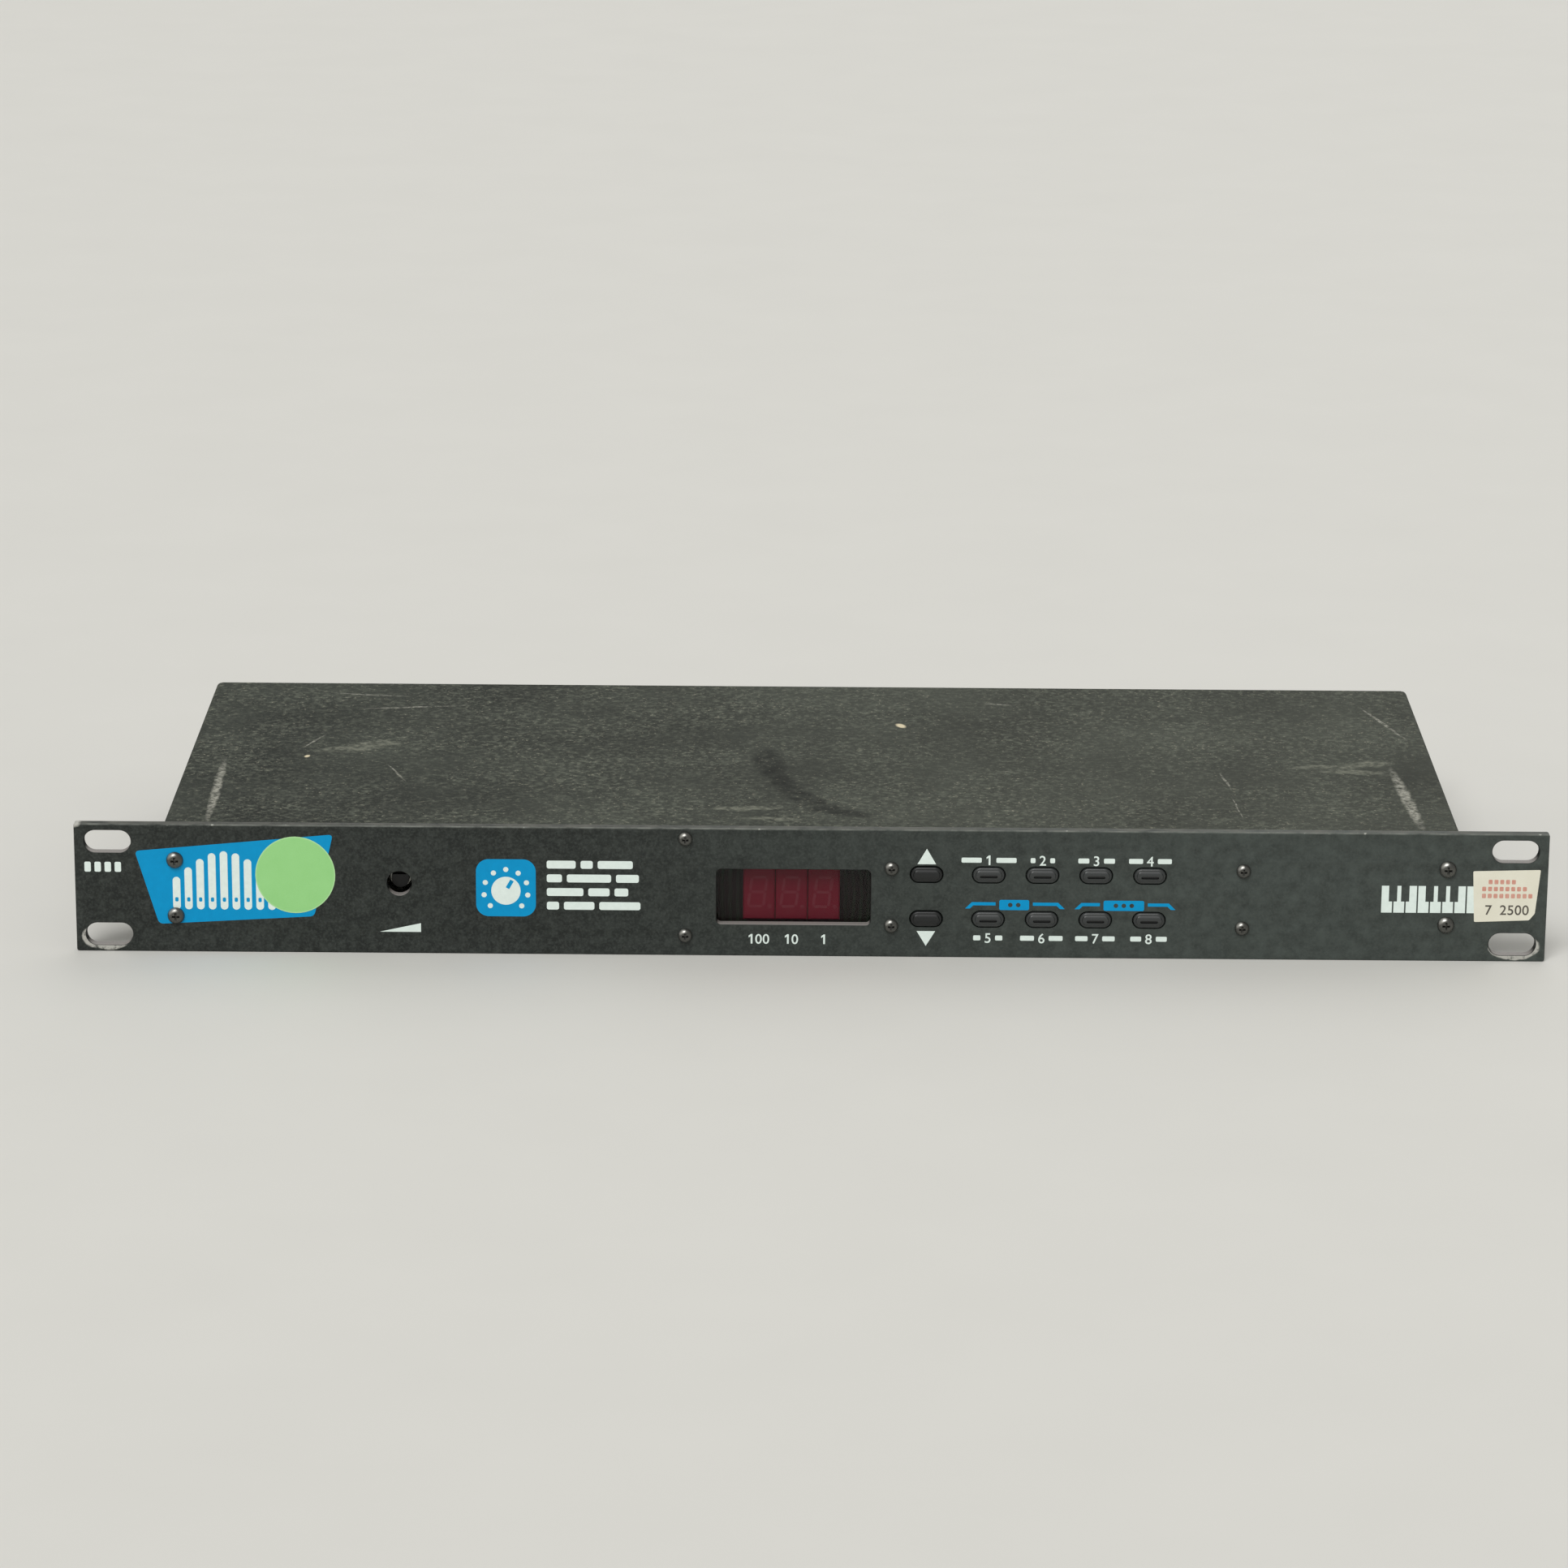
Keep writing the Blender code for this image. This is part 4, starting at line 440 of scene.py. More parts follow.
INLET_NOSE = 8.0 * MM
INLET_BORE = 6.2 * MM
INLET_PIN = 2.1 * MM
INLET_PIN_SETBACK = 0.8 * MM
INLET_BORE_DEPTH = 9.0 * MM
INLET_BODY_DEPTH = 13.5 * MM
INLET_BODY_CORNER = 0.6 * MM
INLET_EDGE = 0.3 * MM
PIN_NOSE = 0.5 * MM

low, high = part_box("power_inlet")
x, z, front, rear = middle("power_inlet")
width, height = high[0] - low[0], high[2] - low[2]
body_back = front + INLET_BODY_DEPTH
barrel_floor = rear - INLET_BORE_DEPTH
pin_tip = rear - INLET_PIN_SETBACK
rings = [
    ring(width, height, INLET_BODY_CORNER, front, x, z),
    ring(width, height, INLET_BODY_CORNER, body_back, x, z),
    disc_ring(INLET_NOSE, body_back, x, z),
    disc_ring(INLET_NOSE, rear - INLET_EDGE, x, z),
    disc_ring(INLET_NOSE - 2 * INLET_EDGE, rear, x, z),
    disc_ring(INLET_BORE + INLET_EDGE, rear, x, z),
    disc_ring(INLET_BORE, rear - INLET_EDGE, x, z),
    disc_ring(INLET_BORE, barrel_floor, x, z),
    disc_ring(INLET_PIN, barrel_floor, x, z),
]
pin = [
    disc_ring(INLET_PIN, barrel_floor, x, z),
    disc_ring(INLET_PIN, pin_tip - PIN_NOSE, x, z),
    disc_ring(INLET_PIN - PIN_NOSE, pin_tip, x, z),
]
shells = [lid(rings[:1]), skin(rings), skin(pin, 1), lid(pin[-1:], 1)]
inlet_mesh = make_mesh("power_inlet", shells)
inlet = make_piece(
    "moulded_power_inlet", inlet_mesh, [socket_nylon, nickel]
)
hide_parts("power_inlet")

# Power switch
# A snap-in rocker switch in glossy black nylon. The case is the CAD's, and the rocker has its
# edges rounded by the mould. A bar and a ring, the usual on and off marks, are printed on it.

ROCKER_PIVOT_TO_REAR = 4.4 * MM
ROCKER_TILT = math.radians(-9.0)
ROCKER_FACE = 5.2 * MM
ROCKER_DISH = 0.9 * MM
ROCKER_HALF_HEIGHT = 6.7 * MM
ROCKER_SHOULDER = 1.3 * MM
ROCKER_HUB = 2.6 * MM
ROCKER_HUB_FLAT = 0.4 * ROCKER_HUB
ROCKER_CORNER = 0.9 * MM
ROCKER_EDGE = 0.5 * MM
ROCKER_HALF_WIDTH = 4.8 * MM
ROCKER_PIN = 2.0 * MM
ROCKER_PIN_REACH = 0.7 * MM
CORNER_POINTS = 7
MARK_THICKNESS = 0.04 * MM
MARK_AT = 0.62
BAR_MARK = (0.6 * MM, 3.0 * MM)
RING_MARK = (3.0 * MM, 1.8 * MM)


def rounded_polygon(corners, radius):
    """A polygon with its corners eased: each is a parabola that leaves the sides at the radius
    from the corner. At a share of its length, the start weighs the square of one less the share,
    the corner twice the share times one less the share, and the end the share's square."""
    corners = np.asarray(corners, dtype=float)
    before = np.roll(corners, 1, axis=0) - corners
    after = np.roll(corners, -1, axis=0) - corners
    start = corners + before * (radius / np.linalg.norm(before, axis=1))[:, None]
    end = corners + after * (radius / np.linalg.norm(after, axis=1))[:, None]
    t = np.linspace(0.0, 1.0, CORNER_POINTS)[None, :, None]
    eased = (1 - t) ** 2 * start[:, None] + 2 * t * (1 - t) * corners[:, None] + t**2 * end[:, None]
    return eased.reshape(-1, 2)


def tilted(points, angle, centre):
    """Points turned about an axis along X through a centre."""
    turn = np.array(Matrix.Rotation(angle, 3, "X"))
    return points @ turn.T + centre


# Deep black with a soft gloss, and the slight waviness of a thick moulding.
gloss_nylon = two_tone(
    "gloss_rocker_nylon",
    {"Roughness": 0.28, "IOR": 1.53},
    size=0.6 * MM,
    dark="#141414",
    pale="#1D1D1D",
    depth=0.006 * MM,
)
dress(gloss_nylon, "power_switch_body")

rocker_x = middle("power_rocker")[0]
_, case_z, _, case_back = middle("power_switch_body")
pivot = np.array([rocker_x, case_back - ROCKER_PIVOT_TO_REAR, case_z])
profile = rounded_polygon(
    [
        (ROCKER_FACE, -ROCKER_HALF_HEIGHT),
        (ROCKER_FACE - ROCKER_DISH, 0.0),
        (ROCKER_FACE, ROCKER_HALF_HEIGHT),
        (ROCKER_SHOULDER, ROCKER_HALF_HEIGHT - ROCKER_SHOULDER),
        (-ROCKER_HUB, ROCKER_HUB_FLAT),
        (-ROCKER_HUB, -ROCKER_HUB_FLAT),
        (ROCKER_SHOULDER, ROCKER_SHOULDER - ROCKER_HALF_HEIGHT),
    ],
    ROCKER_CORNER,
)
shoulder_x = ROCKER_HALF_WIDTH - ROCKER_EDGE
rows = []
for x_at, shrink in (
    (-ROCKER_HALF_WIDTH, ROCKER_EDGE),
    (-shoulder_x, 0.0),
    (shoulder_x, 0.0),
    (ROCKER_HALF_WIDTH, ROCKER_EDGE),
):
    flat = profile * (1.0 - shrink / ROCKER_FACE)
    row = np.column_stack([np.full(len(flat), x_at), flat])
    rows.append(tilted(row, ROCKER_TILT, pivot))
shells = [lid(rows[:1]), skin(rows), lid(rows[-1:])]
round_pin = disc_ring(ROCKER_PIN, 0.0)[:, [1, 0, 2]]
for side in (-1.0, 1.0):
    ends = [side * shoulder_x, side * (ROCKER_HALF_WIDTH + ROCKER_PIN_REACH)]
    pin = [tilted(round_pin + (x, 0.0, 0.0), ROCKER_TILT, pivot) for x in ends]
    shells += [lid(pin[:1]), skin(pin), lid(pin[1:])]
rocker_mesh = make_mesh("power_rocker", shells)
rocker = make_piece(
    "moulded_power_rocker", rocker_mesh, [gloss_nylon], "power_rocker"
)
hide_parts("power_rocker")

# Thin white ink that lets a little of the black through.
marking = two_tone(
    "white_pad_print",
    {"Roughness": 0.5, "IOR": 1.5},
    size=0.3 * MM,
    dark="#CFCFC8",
    pale="#E2E2DC",
    depth=0.002 * MM,
)
slope = math.atan2(ROCKER_DISH, ROCKER_HALF_HEIGHT)
for name, sign, loops in (
    ("on_mark", 1, [ring(*BAR_MARK, BAR_MARK[0] / 2, 0.0)]),
    ("off_mark", -1, [disc_ring(size, 0.0) for size in RING_MARK]),
):
    mark_z = sign * MARK_AT * ROCKER_HALF_HEIGHT
    mark_y = ROCKER_FACE - ROCKER_DISH * (1.0 - MARK_AT)
    spot = tilted(np.array([[0.0, mark_y, mark_z]]), ROCKER_TILT, pivot)[0]
    under = [tilted(loop, ROCKER_TILT - sign * slope, spot) for loop in loops]
    proud = [
        tilted(loop + (0.0, MARK_THICKNESS, 0.0), ROCKER_TILT - sign * slope, spot)
        for loop in loops
    ]
    shells = [lid(under), lid(proud)] + [skin([a, b]) for a, b in zip(under, proud)]
    make_piece(name, make_mesh(name, shells), [marking], "power_rocker")

# Top cover
# Folded from 1 mm steel sheet and sprayed like the tray. It drops over the tray with two tall
# sides and a rear lip, and is held by screws at the rear and at each side.

COVER_DARK = "#1E211E"
COVER_DUST = "#3A3E38"
COVER_GRIT = "#63675C"
COVER_SPECK = "#8F8C7C"
COVER_SCUFF = "#A8A79C"
# The colour of the dust's hazy patches, and also of the painted light towards the right end
COVER_HAZE_AND_LIGHT = "#7B7D70"
COVER_SMUDGE = "#121412"
COVER_CRUMB = "#D9CDAE"
DUST_FILM = 55.0 * MM
DUST_DRIFT = 38.0 * MM
DUST_CLUMP = 2.2 * MM
DUST_SPECK = 1.1 * MM
DUST_GRAIN = 0.9 * MM
DUST_GRAIN_HEIGHT = 0.03 * MM
DUST_FOOT = 2.6 * MM
DUST_TOP = 0.1 * MM
SMUDGE_GRAIN = 5.0 * MM
SCUFF_GRAIN = 1.7 * MM
# Painted light: where the cover starts and stops growing paler towards its right end, and by how
# much at most.
COVER_LIGHT_FROM = -190.0 * MM
COVER_LIGHT_TO = 60.0 * MM
COVER_LIGHT_MOST = 0.11
BLOT_EDGE = 0.55
PATCH_DEPTH = 200.0 * MM
# A spot is its middle, its two sizes and its turn, and a line its two ends and its width, in
# millimetres on the cover's top and with turns in radians.
SMUDGE_SPOTS = [
    ((-14.4, -10.0), (13.0, 34.0), 0.0),
    ((-13.0, -21.0), (12.0, 28.0), 0.1),
    ((-10.5, -32.0), (11.0, 28.0), 0.2),
    ((-7.6, -41.5), (11.0, 26.0), 0.3),
    ((-4.0, -51.0), (11.0, 26.0), 0.4),
    ((0.0, -58.5), (13.0, 20.0), 0.5),
    ((4.5, -65.0), (15.0, 14.0), 0.0),
    ((9.5, -69.0), (15.0, 10.0), -0.4),
    ((14.5, -71.5), (17.0, 8.0), -0.2),
]
HAZE_SPOTS = [
    ((-22.0, -66.0), (30.0, 7.0), 0.1),
    ((-12.0, -78.0), (22.0, 5.0), -0.1),
    ((-158.0, 2.0), (26.0, 9.0), 0.3),
    ((-150.0, 8.0), (24.0, 8.0), 0.2),
    ((176.0, -12.0), (34.0, 6.0), 0.1),
    ((184.0, -18.0), (28.0, 8.0), -0.1),
    ((190.0, -8.0), (20.0, 9.0), 0.2),
]
SCUFFED_EDGES = [
    ((-199.6, -8.0), (-198.0, -90.0), 3.6),
    ((196.8, -10.0), (200.4, -90.0), 4.8),
]
SCRATCHES = [
    ((138.2, -19.0), (140.9, -41.0), 1.1),
    ((140.2, -48.0), (142.4, -75.0), 0.7),
    ((-144.4, -15.5), (-135.8, -38.5), 0.9),
    ((-174.6, 2.0), (-167.6, 20.0), 1.2),
    ((-159.5, 52.5), (-119.5, 57.8), 1.8),
    ((60.0, 65.4), (73.0, 62.8), 1.6),
    ((-169.5, 72.8), (-141.0, 68.7), 1.4),
    ((193.2, 65.5), (206.6, 19.5), 1.5),
]
CRUMBS = [((31.0, 35.8), (3.6, 6.4), 0.3), ((-171.8, -7.9), (2.1, 3.8), -0.2)]


def blot(material, place, centre, size, turn=0.0, inner=BLOT_EDGE):
    """A soft oval patch: 1 inside and 0 outside, with its fall from the inner share outwards.
    It is the length of the place as seen from the oval's middle, turned to its axes and divided
    by its half sizes."""
    half = [side / 2 for side in size]
    feeds = {"Vector": place, "Location": centre, "Rotation": (0.0, 0.0, turn), "Scale": half}
    local = add_node(material, "Mapping", feeds, vector_type="TEXTURE")
    reach = add_node(material, "VectorMath", {0: local}, operation="LENGTH")
    return add_node(material, "MapRange", {"Value": reach, "From Min": 1.0, "From Max": inner})


def jittered(material, place, size, reach):
    """The place, moved about by noise of one size, at most by half the reach."""
    feeds = {"Vector": place, "Scale": 1 / size, "Detail": 4.0}
    noise = add_node(material, "TexNoise", feeds).outputs["Color"]
    shift = add_node(material, "VectorMath", {0: noise, 1: (0.5, 0.5, 0.5)}, operation="SUBTRACT")
    step = add_node(material, "VectorMath", {0: shift, "Scale": reach}, operation="SCALE")
    return add_node(material, "VectorMath", {0: place, 1: step}, operation="ADD")


def blots(material, place, spots, height):
    """One mask of flat oval patches at a height: their middles, sizes in millimetres and turns."""
    mask = 0.0
    for (x, y), (width, length), turn in spots:
        centre = (x * MM, y * MM, height)
        patch = blot(material, place, centre, (width * MM, length * MM, PATCH_DEPTH), turn)
        mask = add_node(material, "Math", {0: mask, 1: patch}, operation="MAXIMUM")
    return mask


def streaks(lines):
    """Lines from one point to another with a width, as the ovals that cover them."""
    spots = []
    for (x0, y0), (x1, y1), width in lines:
        length = math.hypot(x1 - x0, y1 - y0)
        turn = math.atan2(y1 - y0, x1 - x0)
        spots.append((((x0 + x1) / 2, (y0 + y1) / 2), (length, width), turn))
    return spots


def layered(material, tone, layers):
    """A colour with others laid over it in turn. Each covers as much as the place where it lies
    times its pattern."""
    for where, pattern, colour in layers:
        share = add_node(material, "Math", {0: where, 1: pattern}, operation="MULTIPLY")
        tone = add_node(material, "Mix", {0: share, 6: tone, 7: colour}, data_type="RGBA")
    return tone


# Years of dust lie on the enamel as a grey-brown film with paler specks, which takes its gloss.
# Its grains are drawn coarser than real. One dark smudge was wiped clean, and the edges are
# scuffed to pale grey. Painted light makes the cover paler towards its right end.
dusty, shader, place = new_material(
    "dusty_black_enamel", {"Roughness": 0.8, "IOR": 1.5, "Specular IOR Level": 0.2}
)
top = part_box("top_cover")[1][2]
blurred = jittered(dusty, place, size=7.0 * MM, reach=5.0 * MM)
smudged = blots(dusty, blurred, SMUDGE_SPOTS, top)
blurred = jittered(dusty, place, size=6.0 * MM, reach=9.0 * MM)
hazed = blots(dusty, blurred, HAZE_SPOTS, top)
nearly = jittered(dusty, place, size=6.0 * MM, reach=1.6 * MM)
scuffed = blots(dusty, nearly, streaks(SCUFFED_EDGES), top)
scratched = blots(dusty, nearly, streaks(SCRATCHES), top)
crumbs = blots(dusty, nearly, CRUMBS, top)
axes = add_node(dusty, "SeparateXYZ", {0: place})
feeds = {"Value": axes.outputs["Z"], "From Min": top - DUST_FOOT, "From Max": top - DUST_TOP}
level = add_node(dusty, "MapRange", feeds)
drift = spatter(dusty, place, DUST_DRIFT, low=0.22, high=0.6, detail=5.0)
lying = add_node(dusty, "Math", {0: level, 1: drift}, operation="MULTIPLY")
# Painted light, a share that grows towards the cover's right end.
feeds = {"Value": axes.outputs["X"], "From Min": COVER_LIGHT_FROM, "From Max": COVER_LIGHT_TO}
painted_light_right = add_node(dusty, "MapRange", feeds)
coarse = spatter(dusty, place, DUST_CLUMP, low=0.46, high=0.7, detail=4.0)
fine = spatter(dusty, place, DUST_GRAIN, low=0.53, high=0.77, detail=3.0)
grit = add_node(dusty, "Math", {0: coarse, 1: fine}, operation="MAXIMUM")
film = spatter(dusty, place, DUST_FILM, low=0.3, high=0.7, detail=6.0)
tone = add_node(dusty, "Mix", {0: film, 6: COVER_DARK, 7: COVER_DUST}, data_type="RGBA")
patchy = spatter(dusty, place, DUST_CLUMP, low=0.3, high=0.6, most=0.7, detail=4.0)
wiped = spatter(dusty, place, SMUDGE_GRAIN, low=0.15, high=0.6, most=0.72, detail=4.0)
specks = spatter(dusty, place, DUST_SPECK, low=0.67, high=0.73, most=0.7, detail=1.0)
light_scuff = spatter(dusty, place, SCUFF_GRAIN, low=0.36, high=0.62, most=0.75, detail=3.0)
deep_scuff = spatter(dusty, place, SCUFF_GRAIN, low=0.36, high=0.62, most=0.9, detail=3.0)
layers = [
    # painted light towards the right end
    (painted_light_right, COVER_LIGHT_MOST, COVER_HAZE_AND_LIGHT),
    (lying, grit, COVER_GRIT),
    (hazed, patchy, COVER_HAZE_AND_LIGHT),
    (smudged, wiped, COVER_SMUDGE),
    (lying, specks, COVER_SPECK),
    (scratched, light_scuff, COVER_SCUFF),
    (scuffed, deep_scuff, COVER_SCUFF),
    (crumbs, 1.0, COVER_CRUMB),
]
grain = spatter(dusty, place, DUST_GRAIN, detail=3.0)
coat(dusty, shader, layered(dusty, tone, layers), grain, DUST_GRAIN_HEIGHT)
dress(dusty, "top_cover")

# Front panel
# Milled from 3.2 mm aluminium plate, with its edges broken, then sprayed black. Four screws
# through its sides hold it to the tray's tabs, and six more carry the front board.

PANEL_CORNER = 0.8 * MM
PANEL_EDGE = 0.4 * MM
HOLE_EDGE = 0.25 * MM
EDGE_STEPS = 4
RACK_SLOT = (15.4 * MM, 7.5 * MM)
RACK_SLOT_TO_EDGE = 10.9 * MM
RACK_SLOT_SPACING = 31.75 * MM
WINDOW = (50.6 * MM, 18.9 * MM)
WINDOW_CORNER = 1.6 * MM
KEY_OPENING = (11.0 * MM, 5.8 * MM)
VOLUME_HOLE = 8.2 * MM
FRAME_SCREW_HOLE = 3.5 * MM
BOARD_SCREW_HOLE = 2.8 * MM
PANEL_PEEL = 0.8 * MM
PANEL_PEEL_HEIGHT = 0.03 * MM
PANEL_CLOUD = 25.0 * MM
# Where dust and wear begin and are full: from the top down, and from the front back
TOP_DUST = (0.1 * MM, 0.02 * MM)
EDGE_WEAR = (0.6 * MM, 0.2 * MM)
EDGE_WEAR_BEHIND = (0.5 * MM, 0.4 * MM)
RUBBED_CORNER = (5.0 * MM, PATCH_DEPTH, 3.0 * MM)
# The rubbed ovals' shifts from the left and right slots, and their widths
SLOT_RUBS = ((-1.0 * MM, 16.8 * MM), (0.7 * MM, 17.2 * MM))
SLOT_RUB_HEIGHT = 9.2 * MM
SLOT_RUB_DROP = 1.0 * MM
SLOT_RUB_INNER = 0.93
SILL_GRAIN = 0.5 * MM
SILL_GRAIN_HEIGHT = 0.02 * MM
PANEL_DARK = "#151917"
PANEL_LIGHT = "#1E2320"
PANEL_SPECK = "#444945"
PANEL_MOTTLE = "#3F4440"
# Painted sheen: the paler colour that the panel takes towards its right end, and where that starts
# and where it is full, across from the panel's middle.
PANEL_SHEEN = "#4D5551"
PANEL_SHEEN_FROM = -80.0 * MM
PANEL_SHEEN_TO = 130.0 * MM
PANEL_DUST = "#5E5E56"
BARE_METAL = "#B4B3AC"
SILL_METAL = "#7A7673"
SILL_METAL_PALE = "#9B9692"
WORN_EDGE = "#6E716B"
EDGE_CHIP = "#A2A49C"

low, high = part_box("front_panel")
panel_width = high[0] - low[0]
panel_height = high[2] - low[2]
panel_mid = (low[2] + high[2]) / 2
panel_left, panel_front, _ = low
_, panel_back, panel_top = high
lens_x, lens_z = middle("display_window")[:2]
shaft_x, shaft_z = middle("volume_shaft")[:2]
key_names = [f"key_{name}" for name in ("up", "down", 1, 2, 3, 4, 5, 6, 7, 8)]


def broken_edge(width, height, radius, edge, x, z):
    """Rings through the plate, from its back to its front, where the edge is rounded off. A hole
    has a negative edge: the outline goes out by 1 less the cosine as it comes forward."""
    angles = np.linspace(0.0, np.pi / 2, EDGE_STEPS + 1)
    depth = abs(edge)
    rings = [ring(width, height, radius, panel_back, x, z)]
    for angle in angles:
        inward = edge * (1.0 - math.cos(angle))
        y = panel_front + depth * (1.0 - math.sin(angle))
        size = (width - 2 * inward, height - 2 * inward)
        rings.append(ring(*size, radius - inward, y, x, z))
    return rings


slot_xs = [side * (panel_width / 2 - RACK_SLOT_TO_EDGE) for side in (-1, 1)]
slot_zs = [panel_mid + side * RACK_SLOT_SPACING / 2 for side in (-1, 1)]
rim = broken_edge(panel_width, panel_height, PANEL_CORNER, PANEL_EDGE, 0.0, panel_mid)
pale_sill_holes = [
    broken_edge(*RACK_SLOT, RACK_SLOT[1] / 2, -HOLE_EDGE, x, z) for x in slot_xs for z in slot_zs
]
pale_sill_holes.append(broken_edge(*WINDOW, WINDOW_CORNER, -HOLE_EDGE, lens_x, lens_z))
pale_sill_holes.append(
    broken_edge(VOLUME_HOLE, VOLUME_HOLE, VOLUME_HOLE / 2, -HOLE_EDGE, shaft_x, shaft_z)
)
painted_holes = []
for name in key_names:
    x, z = middle(name)[:2]
    painted_holes.append(broken_edge(*KEY_OPENING, KEY_OPENING[1] / 2, -HOLE_EDGE, x, z))
screw_names = [name for name in nodes if name.startswith(("panel_screw", "board_screw"))]
for name in screw_names:
    x, z = middle(name)[:2]
    size = FRAME_SCREW_HOLE if name.startswith("panel") else BOARD_SCREW_HOLE
    painted_holes.append(broken_edge(size, size, size / 2, -HOLE_EDGE / 2, x, z))
holes = pale_sill_holes + painted_holes
shells = [
    skin(rim),
    *[skin(hole, 1) for hole in pale_sill_holes],
    *[skin(hole) for hole in painted_holes],
    lid([rim[0], *[hole[0] for hole in holes]]),
    lid([rim[-1], *[hole[-1] for hole in holes]]),
]

# Satin paint, with a painted sheen that makes it paler towards its right end. It is dusty on
# top, chipped along its upper edge, and rubbed to the metal at its upper left corner and under
# the lower rack slots.
sprayed, shader, place = new_material(
    "sprayed_panel_enamel", {"Roughness": 0.52, "IOR": 1.5, "Specular IOR Level": 0.35}
)
axes = add_node(sprayed, "SeparateXYZ", {0: place})
zones = []
for axis, start, end in (
    # painted sheen, growing towards the panel's right end
    ("X", PANEL_SHEEN_FROM, PANEL_SHEEN_TO),
    ("Z", panel_top - TOP_DUST[0], panel_top - TOP_DUST[1]),
    ("Z", panel_top - EDGE_WEAR[0], panel_top - EDGE_WEAR[1]),
    ("Y", panel_front + EDGE_WEAR_BEHIND[0], panel_front + EDGE_WEAR_BEHIND[1]),
):
    feeds = {"Value": axes.outputs[axis], "From Min": start, "From Max": end}
    zones.append(add_node(sprayed, "MapRange", feeds))
sheen_right_end, top_face, high_up, near_front = zones
upper_edge = add_node(sprayed, "Math", {0: high_up, 1: near_front}, operation="MULTIPLY")
ragged = jittered(sprayed, place, size=2.5 * MM, reach=1.2 * MM)
rubbed = blot(sprayed, place, (panel_left, panel_front, panel_top), RUBBED_CORNER)
for x, (shift, width) in zip(slot_xs, SLOT_RUBS):
    centre = (x + shift, panel_front, slot_zs[0] - SLOT_RUB_DROP)
    size = (width, PATCH_DEPTH, SLOT_RUB_HEIGHT)
    patch = blot(sprayed, ragged, centre, size, inner=SLOT_RUB_INNER)
    rubbed = add_node(sprayed, "Math", {0: rubbed, 1: patch}, operation="MAXIMUM")
cloud = spatter(sprayed, place, PANEL_CLOUD, detail=4.0)
tone = add_node(sprayed, "Mix", {0: cloud, 6: PANEL_DARK, 7: PANEL_LIGHT}, data_type="RGBA")
mottle = spatter(sprayed, place, size=2.4 * MM, low=0.42, high=0.64, most=0.4, detail=5.0)
specks = spatter(sprayed, place, size=PANEL_PEEL, low=0.45, high=0.75, most=0.6, detail=3.0)
# The pattern in which the painted sheen lies over the panel's right end.
sheen_pattern = spatter(sprayed, place, size=5.0 * MM, low=0.1, high=0.9, detail=5.0)
dust = spatter(sprayed, place, size=6.0 * MM, low=0.3, high=0.7, most=0.8, detail=4.0)
wear = spatter(sprayed, place, size=7.0 * MM, low=0.3, high=0.62, detail=5.0)
chips = spatter(sprayed, place, size=3.0 * MM, low=0.66, high=0.7)
bare = spatter(sprayed, place, size=1.4 * MM, low=0.28, high=0.48, detail=4.0)
layers = [
    (1.0, mottle, PANEL_MOTTLE),
    (1.0, specks, PANEL_SPECK),
    # painted sheen towards the right end
    (sheen_right_end, sheen_pattern, PANEL_SHEEN),
    (top_face, dust, PANEL_DUST),
    (upper_edge, wear, WORN_EDGE),
    (upper_edge, chips, EDGE_CHIP),
    (rubbed, bare, BARE_METAL),
]
peel = spatter(sprayed, place, PANEL_PEEL, detail=3.0)
coat(sprayed, shader, layered(sprayed, tone, layers), peel, PANEL_PEEL_HEIGHT)

# The same paint in the openings, a pale dull metal grey on the faces that look up.
# The cutter's marks in the metal are drawn coarser than real.
upward_pale_sill, shader, place = new_material("enamel_pale_on_upward_faces", {"Roughness": 0.5, "IOR": 1.5})
facing = add_node(upward_pale_sill, "NewGeometry", {}).outputs["Normal"]
upward = add_node(upward_pale_sill, "SeparateXYZ", {0: facing}).outputs["Z"]
sill = add_node(upward_pale_sill, "MapRange", {"Value": upward, "From Min": 0.45, "From Max": 0.8})
grain = spatter(upward_pale_sill, place, SILL_GRAIN)
tones = [
    add_node(upward_pale_sill, "Mix", {0: grain, 6: dark, 7: pale}, data_type="RGBA")
    for dark, pale in ((PANEL_DARK, PANEL_LIGHT), (SILL_METAL, SILL_METAL_PALE))
]
tone = add_node(upward_pale_sill, "Mix", {0: sill, 6: tones[0], 7: tones[1]}, data_type="RGBA")
coat(upward_pale_sill, shader, tone, grain, SILL_GRAIN_HEIGHT)

panel_mesh = make_mesh("front_panel", shells)
panel = make_piece("sprayed_front_panel", panel_mesh, [sprayed, upward_pale_sill])
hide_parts("front_panel")

# Print on the panel
# Screen-printed epoxy ink, a few hundredths of a millimetre thick, in white and blue. The
# motifs are organ pipes, a dial, rows of notes, piano keys, arrows and plain numbers.

INK_THICKNESS = 0.03 * MM
INK_SINK = 0.01 * MM
INK_BLUE = "#009DD8"
INK_BLUE_WORN = "#008DC4"
INK_WHITE = "#F0FCF7"
INK_WHITE_WORN = "#DCE9E3"
